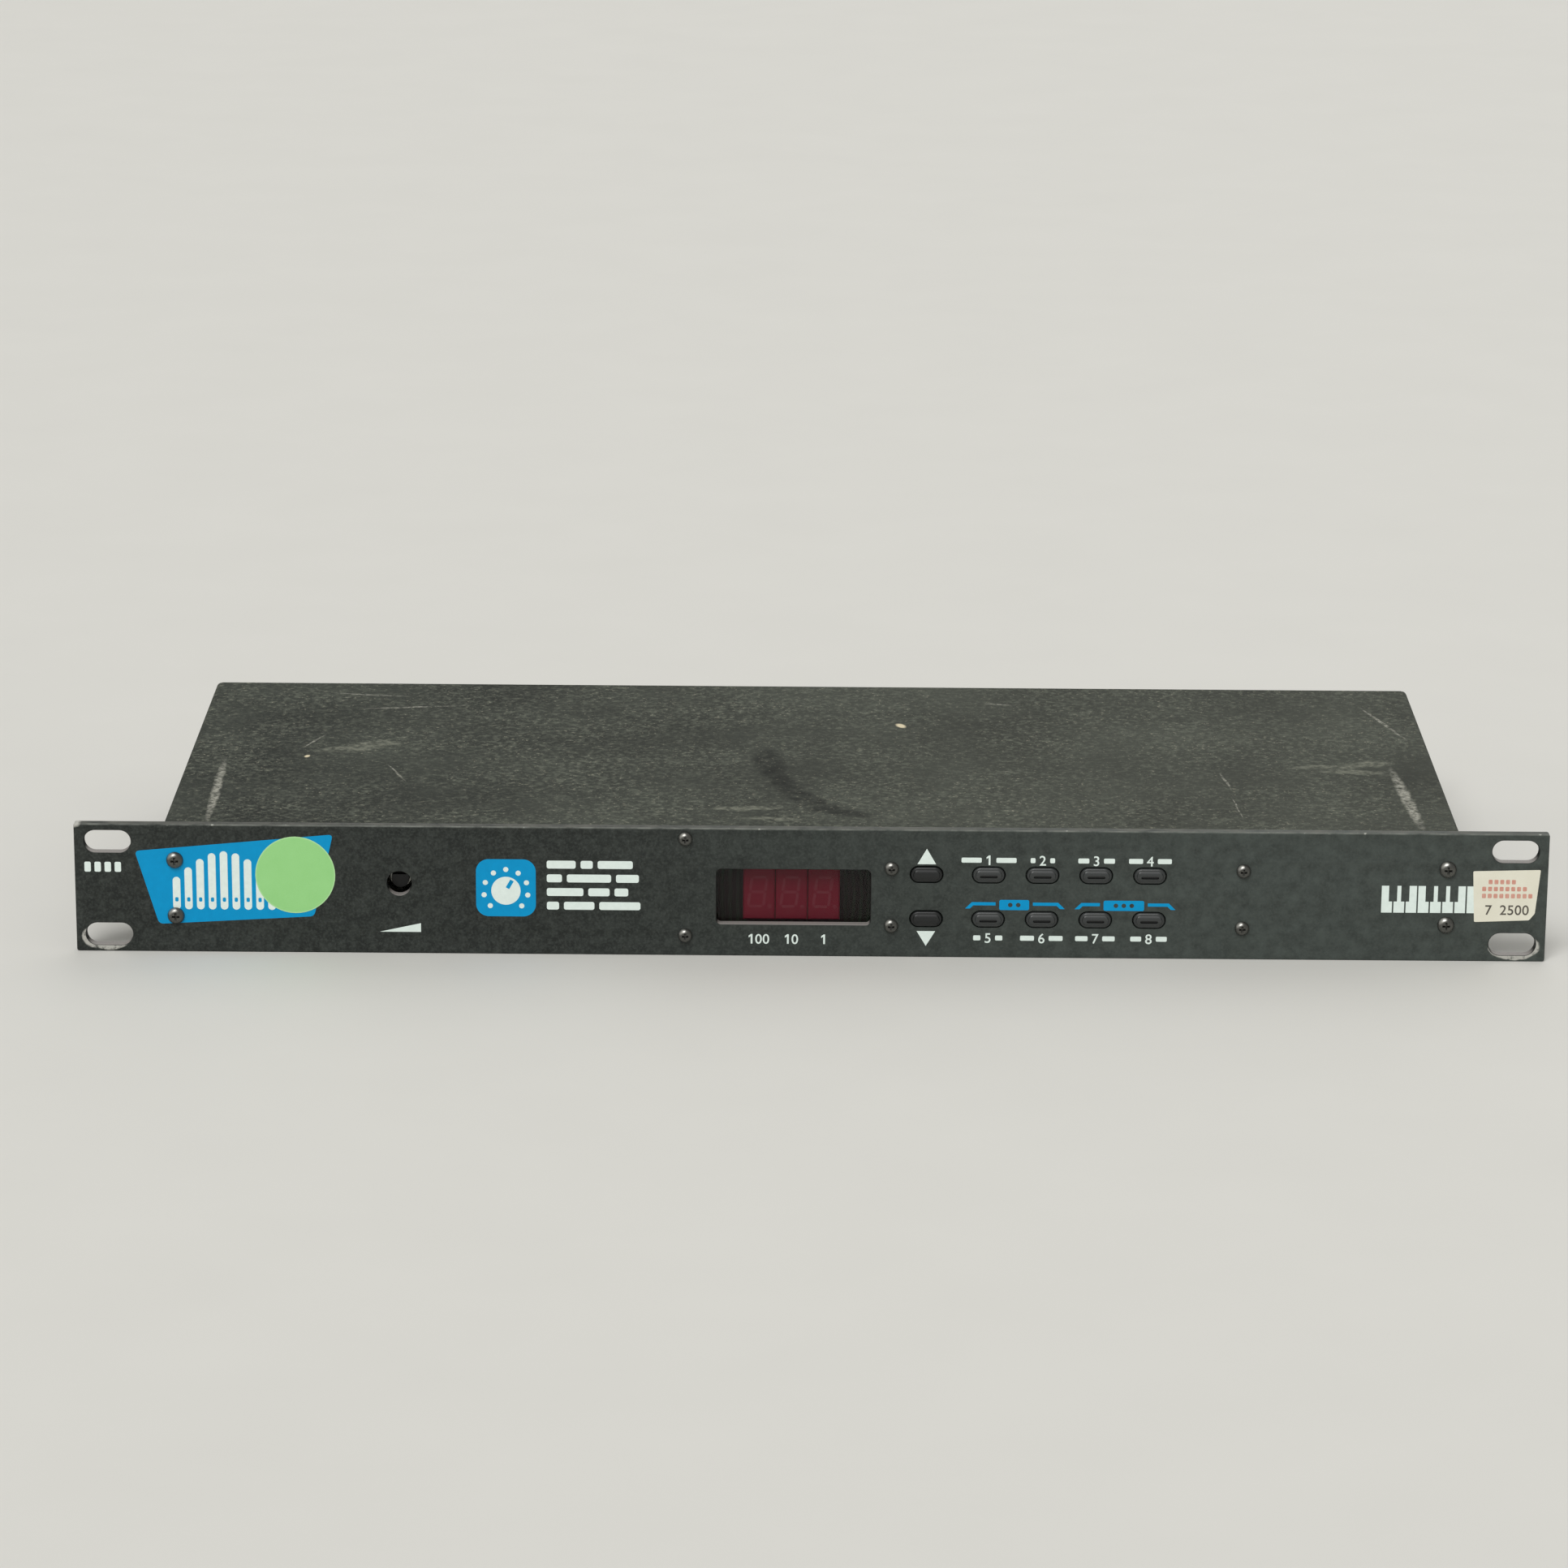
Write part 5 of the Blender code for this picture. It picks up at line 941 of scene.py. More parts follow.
# Places and sizes of the print are in millimetres, across from the panel's middle and up from
# the module's underside. A set of three is a width, a height and a corner's radius.
HAIR = 0.01
FIELD_CORNERS = [(-221.5, 34.5), (-214.0, 9.5), (-163.0, 12.5), (-156.5, 40.6)]
FIELD_CORNER = 1.6
PIPE_XS = np.arange(-208.0, -176.0, 3.9)
PIPE_FOOT = 14.6
PIPE_WIDTH = 2.5
PIPE_SHORTEST = 8.0
PIPE_RISE = 12.0
PIPE_ARCH_START = 1.2
PIPE_ARCH_POWER = 1.3
PIPE_MOUTH = (1.1, 1.5, 0.4)
PIPE_MOUTH_RISE = 3.4
STOP_TABS = (-237.0, -233.7, -230.4, -227.1)
STOP_TAB = (2.1, 3.4, 0.5)
STOP_TAB_Z = 29.0
# Middle, width, height and corner's radius
DIAL_TILE = (-100.0, 22.8, 19.6, 19.6, 4.2)
DIAL_SIZE = 9.6
DIAL_DROP = 1.0
DIAL_LINE = 1.3
DIAL_AIM = 60.0
DIAL_HAND = (1.0, 4.1)
DIAL_SWEEP = (-45.0, 225.0)
DIAL_TICKS = 9
DIAL_TICK = 1.7
DIAL_TICK_REACH = 7.3
# Each row's height on the panel, and the lengths of its bars
NOTE_ROWS = [
    (30.9, (9.5, 4.0, 11.5)),
    (26.2, (5.0, 14.5, 7.5)),
    (21.5, (12.0, 7.0, 4.5)),
    (16.8, (4.0, 10.0, 13.5)),
]
NOTES_LEFT = -86.6
NOTE_HEIGHT = 2.7
NOTE_CORNER = 0.7
NOTE_GAP = 1.6
WEDGE = [(-141.5, 7.4), (-128.0, 7.4), (-128.0, 10.4)]
PIANO_KEYS = 8
PIANO_LEFT = 187.0
PIANO_FOOT = 16.6
PIANO_KEY = (3.5, 9.2)
PIANO_GAP = 0.5
# How far a black key cuts into the keys beside it, how far down, and the keys that it follows
PIANO_SHARP = (1.1, 5.4)
PIANO_SHARPS_AFTER = (0, 1, 3, 4, 5)
# A bracket's two ends, its box's two sides, and the number of dots in the box
BRACKETS = [((50.6, 83.3), (61.8, 71.6), 2), ((86.5, 119.6), (96.0, 109.3), 3)]
BRACKET_TOP = 19.1
BRACKET_FOOT = 16.9
BRACKET_LINE = 1.1
BRACKET_GAP = 1.2
BRACKET_BOX_Z = 18.2
BRACKET_BOX_HEIGHT = 3.5
BRACKET_BOX_CORNER = 0.6
BRACKET_DOT = 1.5
BRACKET_DOT_PITCH = 2.6
# Each arrow's foot and tip
ARROW_HALF_WIDTH = 3.05
ARROWS = (("key_up", 32.0, 37.3), ("key_down", 9.0, 3.9))
LABEL_WIDTHS = (18.0, 8.0, 12.0, 14.0, 9.6, 14.0, 13.0, 12.0)
NUMBER_HEIGHT = 3.3
NUMBER_ROOM = 2.2
LABEL_DASH = 1.7
LABEL_DASH_CORNER = 0.4
LABEL_GAP = 1.3
UPPER_LABEL_Z = 33.5
LOWER_LABEL_Z = 6.8
DIGIT_LABEL_Z = 5.9
DIGIT_LABELS = ("100", "10", "1")
# The numeral 1, in shares of its height
ONE_OUTLINE = [
    (-0.04, -0.5),
    (0.14, -0.5),
    (0.14, 0.5),
    (-0.01, 0.5),
    (-0.25, 0.32),
    (-0.25, 0.13),
    (-0.04, 0.27),
]
NUMBER_PITCH = 0.74
CAP_SHARE = 0.7
NUMBER_BOLDNESS = 0.012


def flat_loop(points):
    """Points in millimetres across and up the panel, as a ring in its front face."""
    points = np.asarray(points, dtype=float) * MM
    return np.column_stack([points[:, 0], np.full(len(points), panel_front), points[:, 1]])


def bar(x, z, width, height, radius):
    """A rounded bar in millimetres about a middle, as a ring in the panel's front face."""
    return ring(width * MM, height * MM, radius * MM, panel_front, x * MM, z * MM)


def dot(x, z, size):
    """A round dot: a bar whose corners leave a hair of straight side between them."""
    return bar(x, z, size, size, size / 2 - HAIR)


def printed(outlines, thickness, sink=INK_SINK):
    """Shells of flat print: each outline is a ring and the rings of its holes. It starts just
    inside the enamel and stands proud by its thickness."""
    shells = []
    for loops in outlines:
        under = [loop + (0.0, sink, 0.0) for loop in loops]
        proud = [loop - (0.0, thickness, 0.0) for loop in loops]
        shells += [lid(under), lid(proud)] + [skin([a, b]) for a, b in zip(under, proud)]
    return shells


def numeral(text, x, z, height, thickness, lift=0.0):
    """One plain numeral as a shell of print, about a middle in millimetres. The 1 is drawn here
    with a flag, and the others come from Blender's own font, made a mesh and stood up."""
    if text == "1":
        outline = np.array(ONE_OUTLINE) * height + (x, z)
        return printed([[flat_loop(outline)]], thickness + lift, INK_SINK - lift)
    curve = bpy.data.curves.new(text, "FONT")
    curve.body = text
    curve.size = height * MM / CAP_SHARE
    curve.align_x = "CENTER"
    curve.offset = height * MM * NUMBER_BOLDNESS
    curve.extrude = (thickness + INK_SINK) / 2
    holder = bpy.data.objects.new(text, curve)
    mesh = bpy.data.meshes.new_from_object(holder)
    bpy.data.objects.remove(holder)
    bpy.data.curves.remove(curve)
    centre = (x * MM, panel_front - lift - (thickness - INK_SINK) / 2, (z - height / 2) * MM)
    mesh.transform(Matrix.Translation(centre) @ Matrix.Rotation(math.pi / 2, 4, "X"))
    mesh.calc_loop_triangles()
    points = np.empty(len(mesh.vertices) * 3)
    mesh.vertices.foreach_get("co", points)
    faces = np.empty(len(mesh.loop_triangles) * 3, dtype=np.int32)
    mesh.loop_triangles.foreach_get("vertices", faces)
    bpy.data.meshes.remove(mesh)
    return [(points.reshape(-1, 3), faces.reshape(-1, 3), 0, False)]


def numbers(text, x, z, height, thickness, lift=0.0):
    """Numerals side by side at one pitch, about a middle."""
    shells = []
    for i, character in enumerate(text):
        at = x + (i - (len(text) - 1) / 2) * height * NUMBER_PITCH
        if character != " ":
            shells += numeral(character, at, z, height, thickness, lift)
    return shells


# Thick matt ink, opaque, with the faint unevenness of the squeegee and of cleaning.
blue_ink = two_tone(
    "blue_screen_ink",
    {"Roughness": 0.5, "IOR": 1.55, "Specular IOR Level": 0.15},
    size=3.0 * MM,
    dark=INK_BLUE,
    pale=INK_BLUE_WORN,
    depth=0.004 * MM,
    detail=4.0,
)
white_ink = two_tone(
    "white_screen_ink",
    {"Roughness": 0.45, "IOR": 1.55},
    size=1.6 * MM,
    dark=INK_WHITE,
    pale=INK_WHITE_WORN,
    depth=0.004 * MM,
    detail=4.0,
)

# The blue field is cut out round the panel's upper left screw.
field = flat_loop(rounded_polygon(FIELD_CORNERS, FIELD_CORNER))
x, z = middle("panel_screw_1")[:2]
field_hole = disc_ring(FRAME_SCREW_HOLE + 2 * INK_THICKNESS, panel_front, x, z)
blue_outlines = [[field, field_hole], [bar(*DIAL_TILE)]]
for (left, right), (box_left, box_right), dots in BRACKETS:
    drop = BRACKET_TOP - BRACKET_FOOT
    inner = BRACKET_TOP - BRACKET_LINE
    corner = BRACKET_LINE * math.tan(math.pi / 8)
    for end, near, sign in ((left, box_left, 1), (right, box_right, -1)):
        arm = [
            (end, BRACKET_FOOT),
            (end + sign * drop, BRACKET_TOP),
            (near - sign * BRACKET_GAP, BRACKET_TOP),
            (near - sign * BRACKET_GAP, inner),
            (end + sign * (drop + corner), inner),
            (end + sign * BRACKET_LINE * math.sqrt(2), BRACKET_FOOT),
        ]
        blue_outlines.append([flat_loop(arm)])
    box_middle = (box_left + box_right) / 2
    box_width = box_right - box_left
    box = bar(box_middle, BRACKET_BOX_Z, box_width, BRACKET_BOX_HEIGHT, BRACKET_BOX_CORNER)
    xs = box_middle + (np.arange(dots) - (dots - 1) / 2) * BRACKET_DOT_PITCH
    holes = [
        disc_ring(BRACKET_DOT * MM, panel_front, x * MM, BRACKET_BOX_Z * MM) for x in xs
    ]
    blue_outlines.append([box, *holes])
blue_mesh = make_mesh("blue_print", printed(blue_outlines, INK_THICKNESS))
make_piece("blue_print", blue_mesh, [blue_ink])

white_outlines = [[bar(x, STOP_TAB_Z, *STOP_TAB)] for x in STOP_TABS]
# The pipes' tops follow half a wave, which starts a little before the first pipe and ends as far
# past the last.
half_wave = len(PIPE_XS) - 1 + 2 * PIPE_ARCH_START
for i, x in enumerate(PIPE_XS):
    arch = math.sin(math.pi * (i + PIPE_ARCH_START) / half_wave)
    tall = PIPE_SHORTEST + PIPE_RISE * arch**PIPE_ARCH_POWER
    pipe = bar(x, PIPE_FOOT + tall / 2, PIPE_WIDTH, tall, PIPE_WIDTH / 2 - HAIR)
    mouth = bar(x, PIPE_FOOT + PIPE_MOUTH_RISE, *PIPE_MOUTH)
    white_outlines.append([pipe, mouth])
aim = math.radians(DIAL_AIM)
along = np.array([math.cos(aim), math.sin(aim)])
aside = np.array([-along[1], along[0]]) * DIAL_LINE / 2
centre = np.array([DIAL_TILE[0], DIAL_TILE[1] - DIAL_DROP])
near, far = (centre + reach * along for reach in DIAL_HAND)
hand = [near - aside, far - aside, far + aside, near + aside]
white_outlines.append([dot(*centre, DIAL_SIZE), flat_loop(hand)])
for tick in np.radians(np.linspace(*DIAL_SWEEP, DIAL_TICKS)):
    toward = np.array([math.cos(tick), math.sin(tick)])
    white_outlines.append([dot(*(centre + DIAL_TICK_REACH * toward), DIAL_TICK)])
for row_z, lengths in NOTE_ROWS:
    left = NOTES_LEFT
    for length in lengths:
        note = bar(left + length / 2, row_z, length, NOTE_HEIGHT, NOTE_CORNER)
        white_outlines.append([note])
        left += length + NOTE_GAP
white_outlines.append([flat_loop(WEDGE)])
key_width, key_tall = PIANO_KEY
notch_half, notch_deep = PIANO_SHARP
for i in range(PIANO_KEYS):
    left = PIANO_LEFT + i * (key_width + PIANO_GAP)
    right = left + key_width
    top = PIANO_FOOT + key_tall
    notch = top - notch_deep
    left_in = notch_half if i - 1 in PIANO_SHARPS_AFTER else 0.0
    right_in = notch_half if i in PIANO_SHARPS_AFTER else 0.0
    corners = [(left, PIANO_FOOT), (right, PIANO_FOOT)]
    corners += [(right, notch), (right - right_in, notch)] if right_in else []
    corners += [(right - right_in, top), (left + left_in, top)]
    corners += [(left + left_in, notch), (left, notch)] if left_in else []
    white_outlines.append([flat_loop(corners)])
for name, foot, tip in ARROWS:
    x = middle(name)[0] / MM
    arrow = [(x - ARROW_HALF_WIDTH, foot), (x + ARROW_HALF_WIDTH, foot), (x, tip)]
    white_outlines.append([flat_loop(arrow)])
shells = []
for number, total in enumerate(LABEL_WIDTHS, start=1):
    x = middle(f"key_{number}")[0] / MM
    label_z = UPPER_LABEL_Z if number <= len(LABEL_WIDTHS) / 2 else LOWER_LABEL_Z
    shells += numbers(str(number), x, label_z, NUMBER_HEIGHT, INK_THICKNESS)
    dash = (total - NUMBER_ROOM - 2 * LABEL_GAP) / 2
    for sign in (-1, 1):
        dash_x = x + sign * (total - dash) / 2
        white_outlines.append([bar(dash_x, label_z, dash, LABEL_DASH, LABEL_DASH_CORNER)])
digit_names = ("digit_1", "digit_2", "digit_3")
for name, text in zip(digit_names, DIGIT_LABELS):
    shells += numbers(text, middle(name)[0] / MM, DIGIT_LABEL_Z, NUMBER_HEIGHT, INK_THICKNESS)
# The pipes lie over the blue field, so the white shapes are twice as thick as the blue.
shells += printed(white_outlines, 2 * INK_THICKNESS)
make_piece("white_print", make_mesh("white_print", shells), [white_ink])

# Stickers on the panel
# A round green paper sticker over the end of the blue field, and a cream price label with one
# corner torn off. Both are self-adhesive paper, about a tenth of a millimetre thick.

PAPER_THICKNESS = 0.12 * MM
PAPER_FIBRE = 0.35 * MM
PAPER_FIBRE_HEIGHT = 0.03 * MM
# Middle and diameter
STICKER = (-169.0, 26.7, 26.2)
STICKER_RIM = 0.96
STICKER_GREEN = "#8ED17C"
STICKER_GREEN_PALE = "#9BDB8A"
STICKER_FIBRE = "#B4E2A6"
STICKER_CUT = "#BDE9AE"
LABEL_CORNERS = [(216.7, 31.0), (238.8, 31.6), (237.4, 16.6), (235.6, 14.3), (217.6, 13.6)]
LABEL_CORNER = 0.5
LABEL_CREAM = "#F0EEDF"
LABEL_STAIN = "#DEDAC6"
LABEL_RED = "#C77766"
LABEL_RED_FADED = "#DDB3A2"
LABEL_BLACK = "#33302C"
LABEL_BLACK_FADED = "#6B655A"
# Each row's middle and width
RED_ROWS = [(228.0, 25.0, 15.0), (228.3, 22.6, 15.6), (227.0, 27.4, 9.0)]
RED_DOT = (1.3, 1.5, 0.3)
RED_DOT_PITCH = 1.9
# The number, its middle and its height
LABEL_NUMBER = ("7 2500", 228.2, 17.8, 3.3)

# Dull dyed paper, a little cloudy and paler at its cut rim. Its fibres are drawn coarser than
# real so that they show.
green_paper, shader, place = new_material("green_sticker_paper", {"Roughness": 0.7, "IOR": 1.5})
cloud = spatter(green_paper, place, 7.0 * MM, detail=3.0)
feeds = {0: cloud, 6: STICKER_GREEN, 7: STICKER_GREEN_PALE}
tone = add_node(green_paper, "Mix", feeds, data_type="RGBA")
pale = spatter(green_paper, place, PAPER_FIBRE, most=0.3, detail=3.0)
tone = add_node(green_paper, "Mix", {0: pale, 6: tone, 7: STICKER_FIBRE}, data_type="RGBA")
sticker_x, sticker_z, sticker_size = STICKER
centre = (sticker_x * MM, panel_front, sticker_z * MM)
size = (sticker_size * MM, PATCH_DEPTH, sticker_size * MM)
inside = blot(green_paper, place, centre, size, inner=STICKER_RIM)
tone = add_node(green_paper, "Mix", {0: inside, 6: STICKER_CUT, 7: tone}, data_type="RGBA")
fibre = spatter(green_paper, place, PAPER_FIBRE, detail=3.0)
coat(green_paper, shader, tone, fibre, PAPER_FIBRE_HEIGHT)
sticker = [bar(sticker_x, sticker_z, sticker_size, sticker_size, sticker_size / 2)]
sticker_mesh = make_mesh("round_sticker", printed([sticker], PAPER_THICKNESS))
make_piece("round_sticker", sticker_mesh, [green_paper])

# Uncoated paper yellowed by age and stained in places.
cream_paper, shader, place = new_material("cream_label_paper", {"Roughness": 0.68, "IOR": 1.5})
stain = spatter(cream_paper, place, 9.0 * MM, detail=4.0)
feeds = {0: stain, 6: LABEL_CREAM, 7: LABEL_STAIN}
tone = add_node(cream_paper, "Mix", feeds, data_type="RGBA")
fibre = spatter(cream_paper, place, PAPER_FIBRE, detail=3.0)
coat(cream_paper, shader, tone, fibre, PAPER_FIBRE_HEIGHT)

# Stamping ink that has sunk into the paper and faded unevenly.
stamp = two_tone(
    "faded_red_stamp_ink",
    {"Roughness": 0.6, "IOR": 1.5},
    size=1.2 * MM,
    dark=LABEL_RED,
    pale=LABEL_RED_FADED,
    depth=0.004 * MM,
    detail=3.0,
)
black_stamp = two_tone(
    "black_stamp_ink",
    {"Roughness": 0.6, "IOR": 1.5},
    size=0.9 * MM,
    dark=LABEL_BLACK,
    pale=LABEL_BLACK_FADED,
    depth=0.004 * MM,
    detail=3.0,
)

label = [flat_loop(rounded_polygon(LABEL_CORNERS, LABEL_CORNER))]
label_mesh = make_mesh("price_label", printed([label], PAPER_THICKNESS))
make_piece("price_label", label_mesh, [cream_paper])
red_outlines = [
    [bar(x + offset, z, *RED_DOT)]
    for x, z, width in RED_ROWS
    for offset in np.arange(-width / 2, width / 2, RED_DOT_PITCH)
]
shells = printed(red_outlines, PAPER_THICKNESS + INK_THICKNESS, INK_SINK - PAPER_THICKNESS)
make_piece("label_red_marks", make_mesh("label_red_marks", shells), [stamp])
shells = numbers(*LABEL_NUMBER, INK_THICKNESS, PAPER_THICKNESS)
make_piece("label_numbers", make_mesh("label_numbers", shells), [black_stamp])

# Display
# A lens of smoked red acrylic behind the window, and three digit blocks of dark red epoxy
# side by side on the front board. The lens is polished, so it mirrors the sill below it.

LENS_DARK = "#150A0D"
LENS_HAZE = "#221216"
LENS_DENSITY = 0.42
DIGIT_RED = "#FF2C5C"
DIGIT_DEEP_RED = "#E41A4C"
DIGIT_FROST = 0.8 * MM
SEGMENT_PALE_RED = "#FF7F93"
# A digit's light bars and its point, in millimetres on its face
SEGMENT_LONG = 4.6
SEGMENT_WIDE = 0.95
SEGMENT_GAP = 0.2
SEGMENT_LEAN = 0.13
POINT_SIZE = 1.3
POINT_X = 4.0
SEGMENTS_SHIFT = 0.4 * MM

# A clear polished sheet, so dark that the digits only just show through.
smoked = two_tone(
    "smoked_red_acrylic",
    {"Roughness": 0.1, "IOR": 1.49, "Specular IOR Level": 0.35, "Alpha": LENS_DENSITY},
    size=14.0 * MM,
    dark=LENS_DARK,
    pale=LENS_HAZE,
    depth=0.002 * MM,
    detail=3.0,
)
dress(smoked, "display_window")

# Cast resin with a frosted face, its grain drawn coarser than real. Its red is bright, as the
# lens takes most of it away.
epoxy = two_tone(
    "tinted_red_epoxy",
    {"Roughness": 0.4, "IOR": 1.55},
    size=DIGIT_FROST,
    dark=DIGIT_DEEP_RED,
    pale=DIGIT_RED,
    depth=0.01 * MM,
    detail=3.0,
)
dress(epoxy, *digit_names)

# The unlit light bars, paler than the face round them.
segment_epoxy = two_tone(
    "pale_red_segment_epoxy",
    {"Roughness": 0.4, "IOR": 1.55},
    size=DIGIT_FROST,
    dark=DIGIT_RED,
    pale=SEGMENT_PALE_RED,
    depth=0.01 * MM,
    detail=3.0,
)


def segment(x, z, upright):
    """One light bar: a long hexagon, flat or upright, leaning with the digit."""
    long, half = SEGMENT_LONG / 2, SEGMENT_WIDE / 2
    flat = [(-long, 0), (-long + half, -half), (long - half, -half)]
    flat += [(long, 0), (long - half, half), (-long + half, half)]
    outline = np.array([(-b, a) for a, b in flat] if upright else flat) + (x, z)
    outline[:, 0] += SEGMENT_LEAN * outline[:, 1]
    return outline


beside = SEGMENT_LONG / 2 + SEGMENT_GAP
outlines = [segment(0, level * 2 * beside, False) for level in (-1, 0, 1)]
outlines += [
    segment(side * beside, level * beside, True) for side in (-1, 1) for level in (-1, 1)
]
rings = [flat_loop(outline) for outline in outlines]
rings.append(dot(POINT_X, -2 * beside, POINT_SIZE))
for name in digit_names:
    x, z, front, _ = middle(name)
    to_face = (x - SEGMENTS_SHIFT, front - panel_front, z)
    shells = printed([[loop + to_face] for loop in rings], INK_THICKNESS)
    segments_mesh = make_mesh(name, shells)
    make_piece(f"segments_of_{name}", segments_mesh, [segment_epoxy])

# Volume control's nut and shaft
# The nut is nickel plated brass. The shaft is turned in black anodised aluminium with one
# flat, and ends inside the panel's hole.

dress(nickel, "pot_nut")

# Nearly black with a little metal sheen, and tool lines drawn coarser than real.
shaft_black = two_tone(
    "black_turned_shaft",
    {"Roughness": 0.4, "Metallic": 0.3},
    size=0.3 * MM,
    dark="#101011",
    pale="#1D1D1E",
    depth=0.01 * MM,
)
dress(shaft_black, "volume_shaft")

# Key caps
# Ten pill-shaped caps moulded in ABS, each with a flange behind the panel that keeps it in its
# opening, and a stem that reaches its switch. The mode keys have a dark slit across the crown.

SEAT_GAP = 0.3 * MM
KEY_CAP = (10.4 * MM, 5.2 * MM)
KEY_FLANGE = (12.8 * MM, 7.6 * MM)
KEY_FLANGE_THICKNESS = 1.0 * MM
KEY_STEM = 3.0 * MM
KEY_EDGE_ROUND = 0.8 * MM
KEY_CROWN = 0.55 * MM
KEY_SLIT = (5.8 * MM, 0.9 * MM)
KEY_SLIT_DEPTH = 0.5 * MM
KEY_SLIT_DROP = 0.3 * MM
KEY_CREASE = (5.8 * MM, 0.2 * MM)
KEY_EDGE_STEPS = 8
KEY_CROWN_STEPS = 8


def key_rings(name, slit):
    """Rings of one cap from the stem's end to the crown. The rounded edge is a quarter circle,
    and the crown is a low dome: its rings narrow to the slit in even steps, and each point lies
    back by the square of its share of the cap's half height."""
    x, z, front, rear = middle(name)
    length, height = KEY_CAP
    flange_front = panel_back + SEAT_GAP
    flange_back = flange_front + KEY_FLANGE_THICKNESS
    rings = [
        disc_ring(KEY_STEM, rear, x, z),
        disc_ring(KEY_STEM, flange_back, x, z),
        ring(*KEY_FLANGE, KEY_FLANGE[1] / 2, flange_back, x, z),
        ring(*KEY_FLANGE, KEY_FLANGE[1] / 2, flange_front, x, z),
        ring(length, height, height / 2, flange_front, x, z),
    ]
    shoulder = front + KEY_CROWN
    for angle in np.linspace(0.0, np.pi / 2, KEY_EDGE_STEPS):
        inset = KEY_EDGE_ROUND * (1.0 - math.cos(angle))
        y = shoulder + KEY_EDGE_ROUND * (1.0 - math.sin(angle))
        rings.append(ring(length - 2 * inset, height - 2 * inset, height / 2 - inset, y, x, z))
    outer = rings[-1]
    mouth = KEY_SLIT if slit else KEY_CREASE
    inner = ring(*mouth, mouth[1] / 2, front, x, z - KEY_SLIT_DROP)
    for share in np.linspace(0.0, 1.0, KEY_CROWN_STEPS)[1:]:
        row = outer * (1.0 - share) + inner * share
        away = np.abs(row[:, 2] - z) / (height / 2 - KEY_EDGE_ROUND)
        row[:, 1] = front + KEY_CROWN * np.clip(away, 0.0, 1.0) ** 2
        rings.append(row)
    if slit:
        floor = rings[-1].copy()
        floor[:, 1] += KEY_SLIT_DEPTH
        rings.append(floor)
    return rings


# Semi-gloss plastic, with an even texture a little coarser than the mould's.
black_abs = two_tone(
    "moulded_black_abs",
    {"Roughness": 0.42, "IOR": 1.54, "Specular IOR Level": 0.38},
    size=0.35 * MM,
    dark="#131415",
    pale="#1D1F1F",
    depth=0.01 * MM,
)
grey_abs = two_tone(
    "moulded_grey_abs",
    {"Roughness": 0.4, "IOR": 1.54},
    size=0.35 * MM,
    dark="#272A2A",
    pale="#343737",
    depth=0.01 * MM,
)

for name in key_names:
    step_key = name in ("key_up", "key_down")
    plastic = black_abs if step_key else grey_abs
    rings = key_rings(name, not step_key)
    shells = [lid(rings[:1]), skin(rings[:-1]), skin(rings[-2:], 1), lid(rings[-1:], 1)]
    cap_mesh = make_mesh(name, shells)
    cap = make_piece(f"cap_of_{name}", cap_mesh, [plastic, black_abs], name)
    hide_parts(name)

# Screws
# Pan-head machine screws with a cross recess, in steel blackened with oxide, ten in the panel
# and four in the cover.

SHANK_CLEARANCE = 0.3 * MM
RECESS_ARM = 0.72 * MM
RECESS_SPAN_SHARE = 0.46
RECESS_DEPTH_SHARE = 0.6
RECESS_FLOOR_SHARE = 0.55
HEAD_RINGS = 12
HEAD_POWER = 1.0 / 0.38
HEAD_SIDES = 96
OXIDE_PIT = 0.3 * MM
OXIDE_PIT_HEIGHT = 0.01 * MM
OXIDE_DARK = "#4A4A47"
OXIDE_LIGHT = "#6C6C68"
# The painted highlight's colour, and the way that a face looks to catch it: left, forward and up
CROWN_HIGHLIGHT = "#B9B8B2"
HIGHLIGHT_FACING = (-0.45, -0.62, 0.64)
TINY = 1e-6


def screw_rings(radius, height, shank, length):
    """Rings of a screw whose head faces -Y, from the shank's tip round the head into the recess.
    The dome's height is the root of 1 less a power of the share of its radius. The recess's
    outline is a plus sign: at each angle, the farther of the two arms' edges, where an arm's edge
    is its span over the cosine or its half width over the sine, whichever is nearer."""
    angle = np.linspace(0.0, 2 * np.pi, HEAD_SIDES, endpoint=False)
    cosine = np.maximum(np.abs(np.cos(angle)), TINY)
    sine = np.maximum(np.abs(np.sin(angle)), TINY)
    span = radius * RECESS_SPAN_SHARE
    half_arm = RECESS_ARM / 2
    plus = np.maximum(
        np.minimum(span / cosine, half_arm / sine), np.minimum(span / sine, half_arm / cosine)
    )

    def dome(r):
        return -height * np.sqrt(np.clip(1.0 - (r / radius) ** HEAD_POWER, 0, 1))

    def row(r, y):
        r = np.broadcast_to(r, angle.shape)
        y = np.broadcast_to(y, angle.shape)
        return np.column_stack([r * np.cos(angle), y, r * np.sin(angle)])

    rings = [row(shank, length), row(shank, 0.0)]
    for share in np.sin(np.linspace(np.pi / 2, 0.0, HEAD_RINGS)):
        r = plus + (radius - plus) * share
        rings.append(row(r, dome(r)))
    depth = height * RECESS_DEPTH_SHARE
    floor = plus * RECESS_FLOOR_SHARE
    rings.append(row(floor, dome(plus) + depth))
    return rings


# Dark metal with a dull shine, and a painted highlight on the crowns where they face up, left
# and forward. The oxide's grain is drawn coarser than real.
oxide, shader, place = new_material("black_oxide_steel", {"Roughness": 0.35, "Metallic": 0.8})
pitting = spatter(oxide, place, OXIDE_PIT)
facing = add_node(oxide, "NewGeometry", {}).outputs["Normal"]
